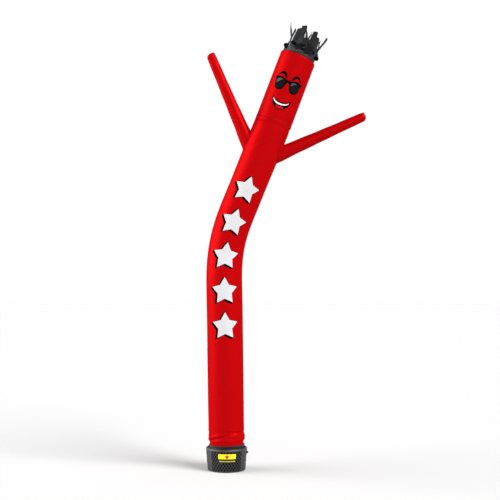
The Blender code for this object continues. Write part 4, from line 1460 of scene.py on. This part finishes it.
strap_inner = STRAP_RADIUS - STRAP_THICKNESS
strap_mesh = webbing_band(strap_inner, STRAP_RADIUS, STRAP_LOW, STRAP_HIGH, 0, 360, STRAP_COLUMNS)
strap = fitted("webbing_strap", strap_mesh, black_webbing, "black_webbing", "hem_strap", sharp=50)
end_inner = STRAP_RADIUS + END_LIFT
end_outer = end_inner + END_THICKNESS
end_low, end_high = STRAP_LOW + END_MARGIN, STRAP_HIGH - END_MARGIN
end_span = END_SPAN[1] - END_SPAN[0]
end_mesh = webbing_band(end_inner, end_outer, end_low, end_high, END_SPAN[0], end_span, END_COLUMNS)
strap_end = fitted("webbing_strap_end", end_mesh, black_webbing, "black_webbing", "strap_end", sharp=50)


def on_strap_end(degrees, height):
    """A stitch's place on the strap's end and the direction out of it."""
    out = spoke(degrees)
    return out * (end_outer + 0.0003) + UP * height, out


first, last = END_SPAN[0] + END_STITCHES_TURN, END_SPAN[1] - END_STITCHES_TURN
low, high = end_low + END_STITCHES_IN, end_high - END_STITCHES_IN
end_rows = []
for height in (low, high):
    end_rows.append([on_strap_end(first + (last - first) * i / 16, height) for i in range(17)])
for degrees in (first, last, END_FOLD):
    end_rows.append([on_strap_end(degrees, low + (high - low) * i / 5) for i in range(6)])
strap_stitches = stitched("strap_end_stitches", end_rows, thread_black, "black_webbing")

# The black toggles: painted shade for the gap between the strap's sides and the shoulder.
mesh = bmesh.new()
for degrees, height in GAP_SHADE_TOGGLES:
    out = spoke(degrees)
    turned_part(mesh, out * (STRAP_RADIUS - 0.001) + UP * height, out, TOGGLE_PROFILE, 24)
toggles = fitted("strap_gap_shade_toggles", sealed(mesh), knob_black, "black_knob", sharp=40)


# --- Studio ---
# A plain pale floor under a bright even sky, a wide soft light low on the left and a weaker one high on the
# right. The camera stands in front at a little over two metres, as in the photograph.

CAMERA_PLACE = (0.2927, -12.7, 2.4)
CAMERA_RISE = 1.545  # degrees above level
CAMERA_LENS = 72.8
SKY = 1.02  # low down, behind the object
CEILING = 0.35
HORIZON = (0.30, 0.62)  # how far up a view points where the sky starts and ends to darken
LIGHTS = (
    # name, degrees round from the front towards the right, degrees up, strength, softness in degrees
    ("left light", -90, 13, 4.7, 60),
    ("right light", 53, 38, 3.7, 34),
)

floor_grey, tree, shader = finish("floor grey", (0.62, 0.62, 0.62), 0.85, Specular_IOR_Level=0.0)
tint(tree, shader, clouds(tree, 3.0, 3.0, 0.5), (0.618, 0.618, 0.618), (0.622, 0.622, 0.622))
bpy.ops.mesh.primitive_plane_add(size=160)
floor = bpy.context.object
floor.name = "floor"
floor.data.materials.append(floor_grey)

world = bpy.data.worlds.new("sky")
bpy.context.scene.world = world
world.use_nodes = True
tree = world.node_tree
background = tree.nodes["Background"]
upwards = node(tree, "SeparateXYZ", node(tree, "TexCoord")).node.outputs[2]
background.inputs["Color"].default_value = (1, 1, 1, 1)
tree.links.new(node(tree, "MapRange", upwards, *HORIZON, SKY, CEILING), background.inputs["Strength"])

for name, round_front, height, strength, softness in LIGHTS:
    lamp = bpy.data.lights.new(name, "SUN")
    lamp.energy = strength
    lamp.angle = math.radians(softness)
    lit = bpy.data.objects.new(name, lamp)
    bpy.context.scene.collection.objects.link(lit)
    rise = math.radians(height)
    source = round_z(round_front, math.cos(rise), math.sin(rise))
    lit.rotation_euler = source.to_track_quat("Z", "Y").to_euler()

lens_data = bpy.data.cameras.new("camera")
lens_data.lens = CAMERA_LENS
lens_data.sensor_width = 36
camera = bpy.data.objects.new("camera", lens_data)
bpy.context.scene.collection.objects.link(camera)
camera.location = CAMERA_PLACE
camera.rotation_euler = (math.radians(90 + CAMERA_RISE), 0, 0)
bpy.context.scene.camera = camera
bpy.context.scene.view_settings.view_transform = "Standard"
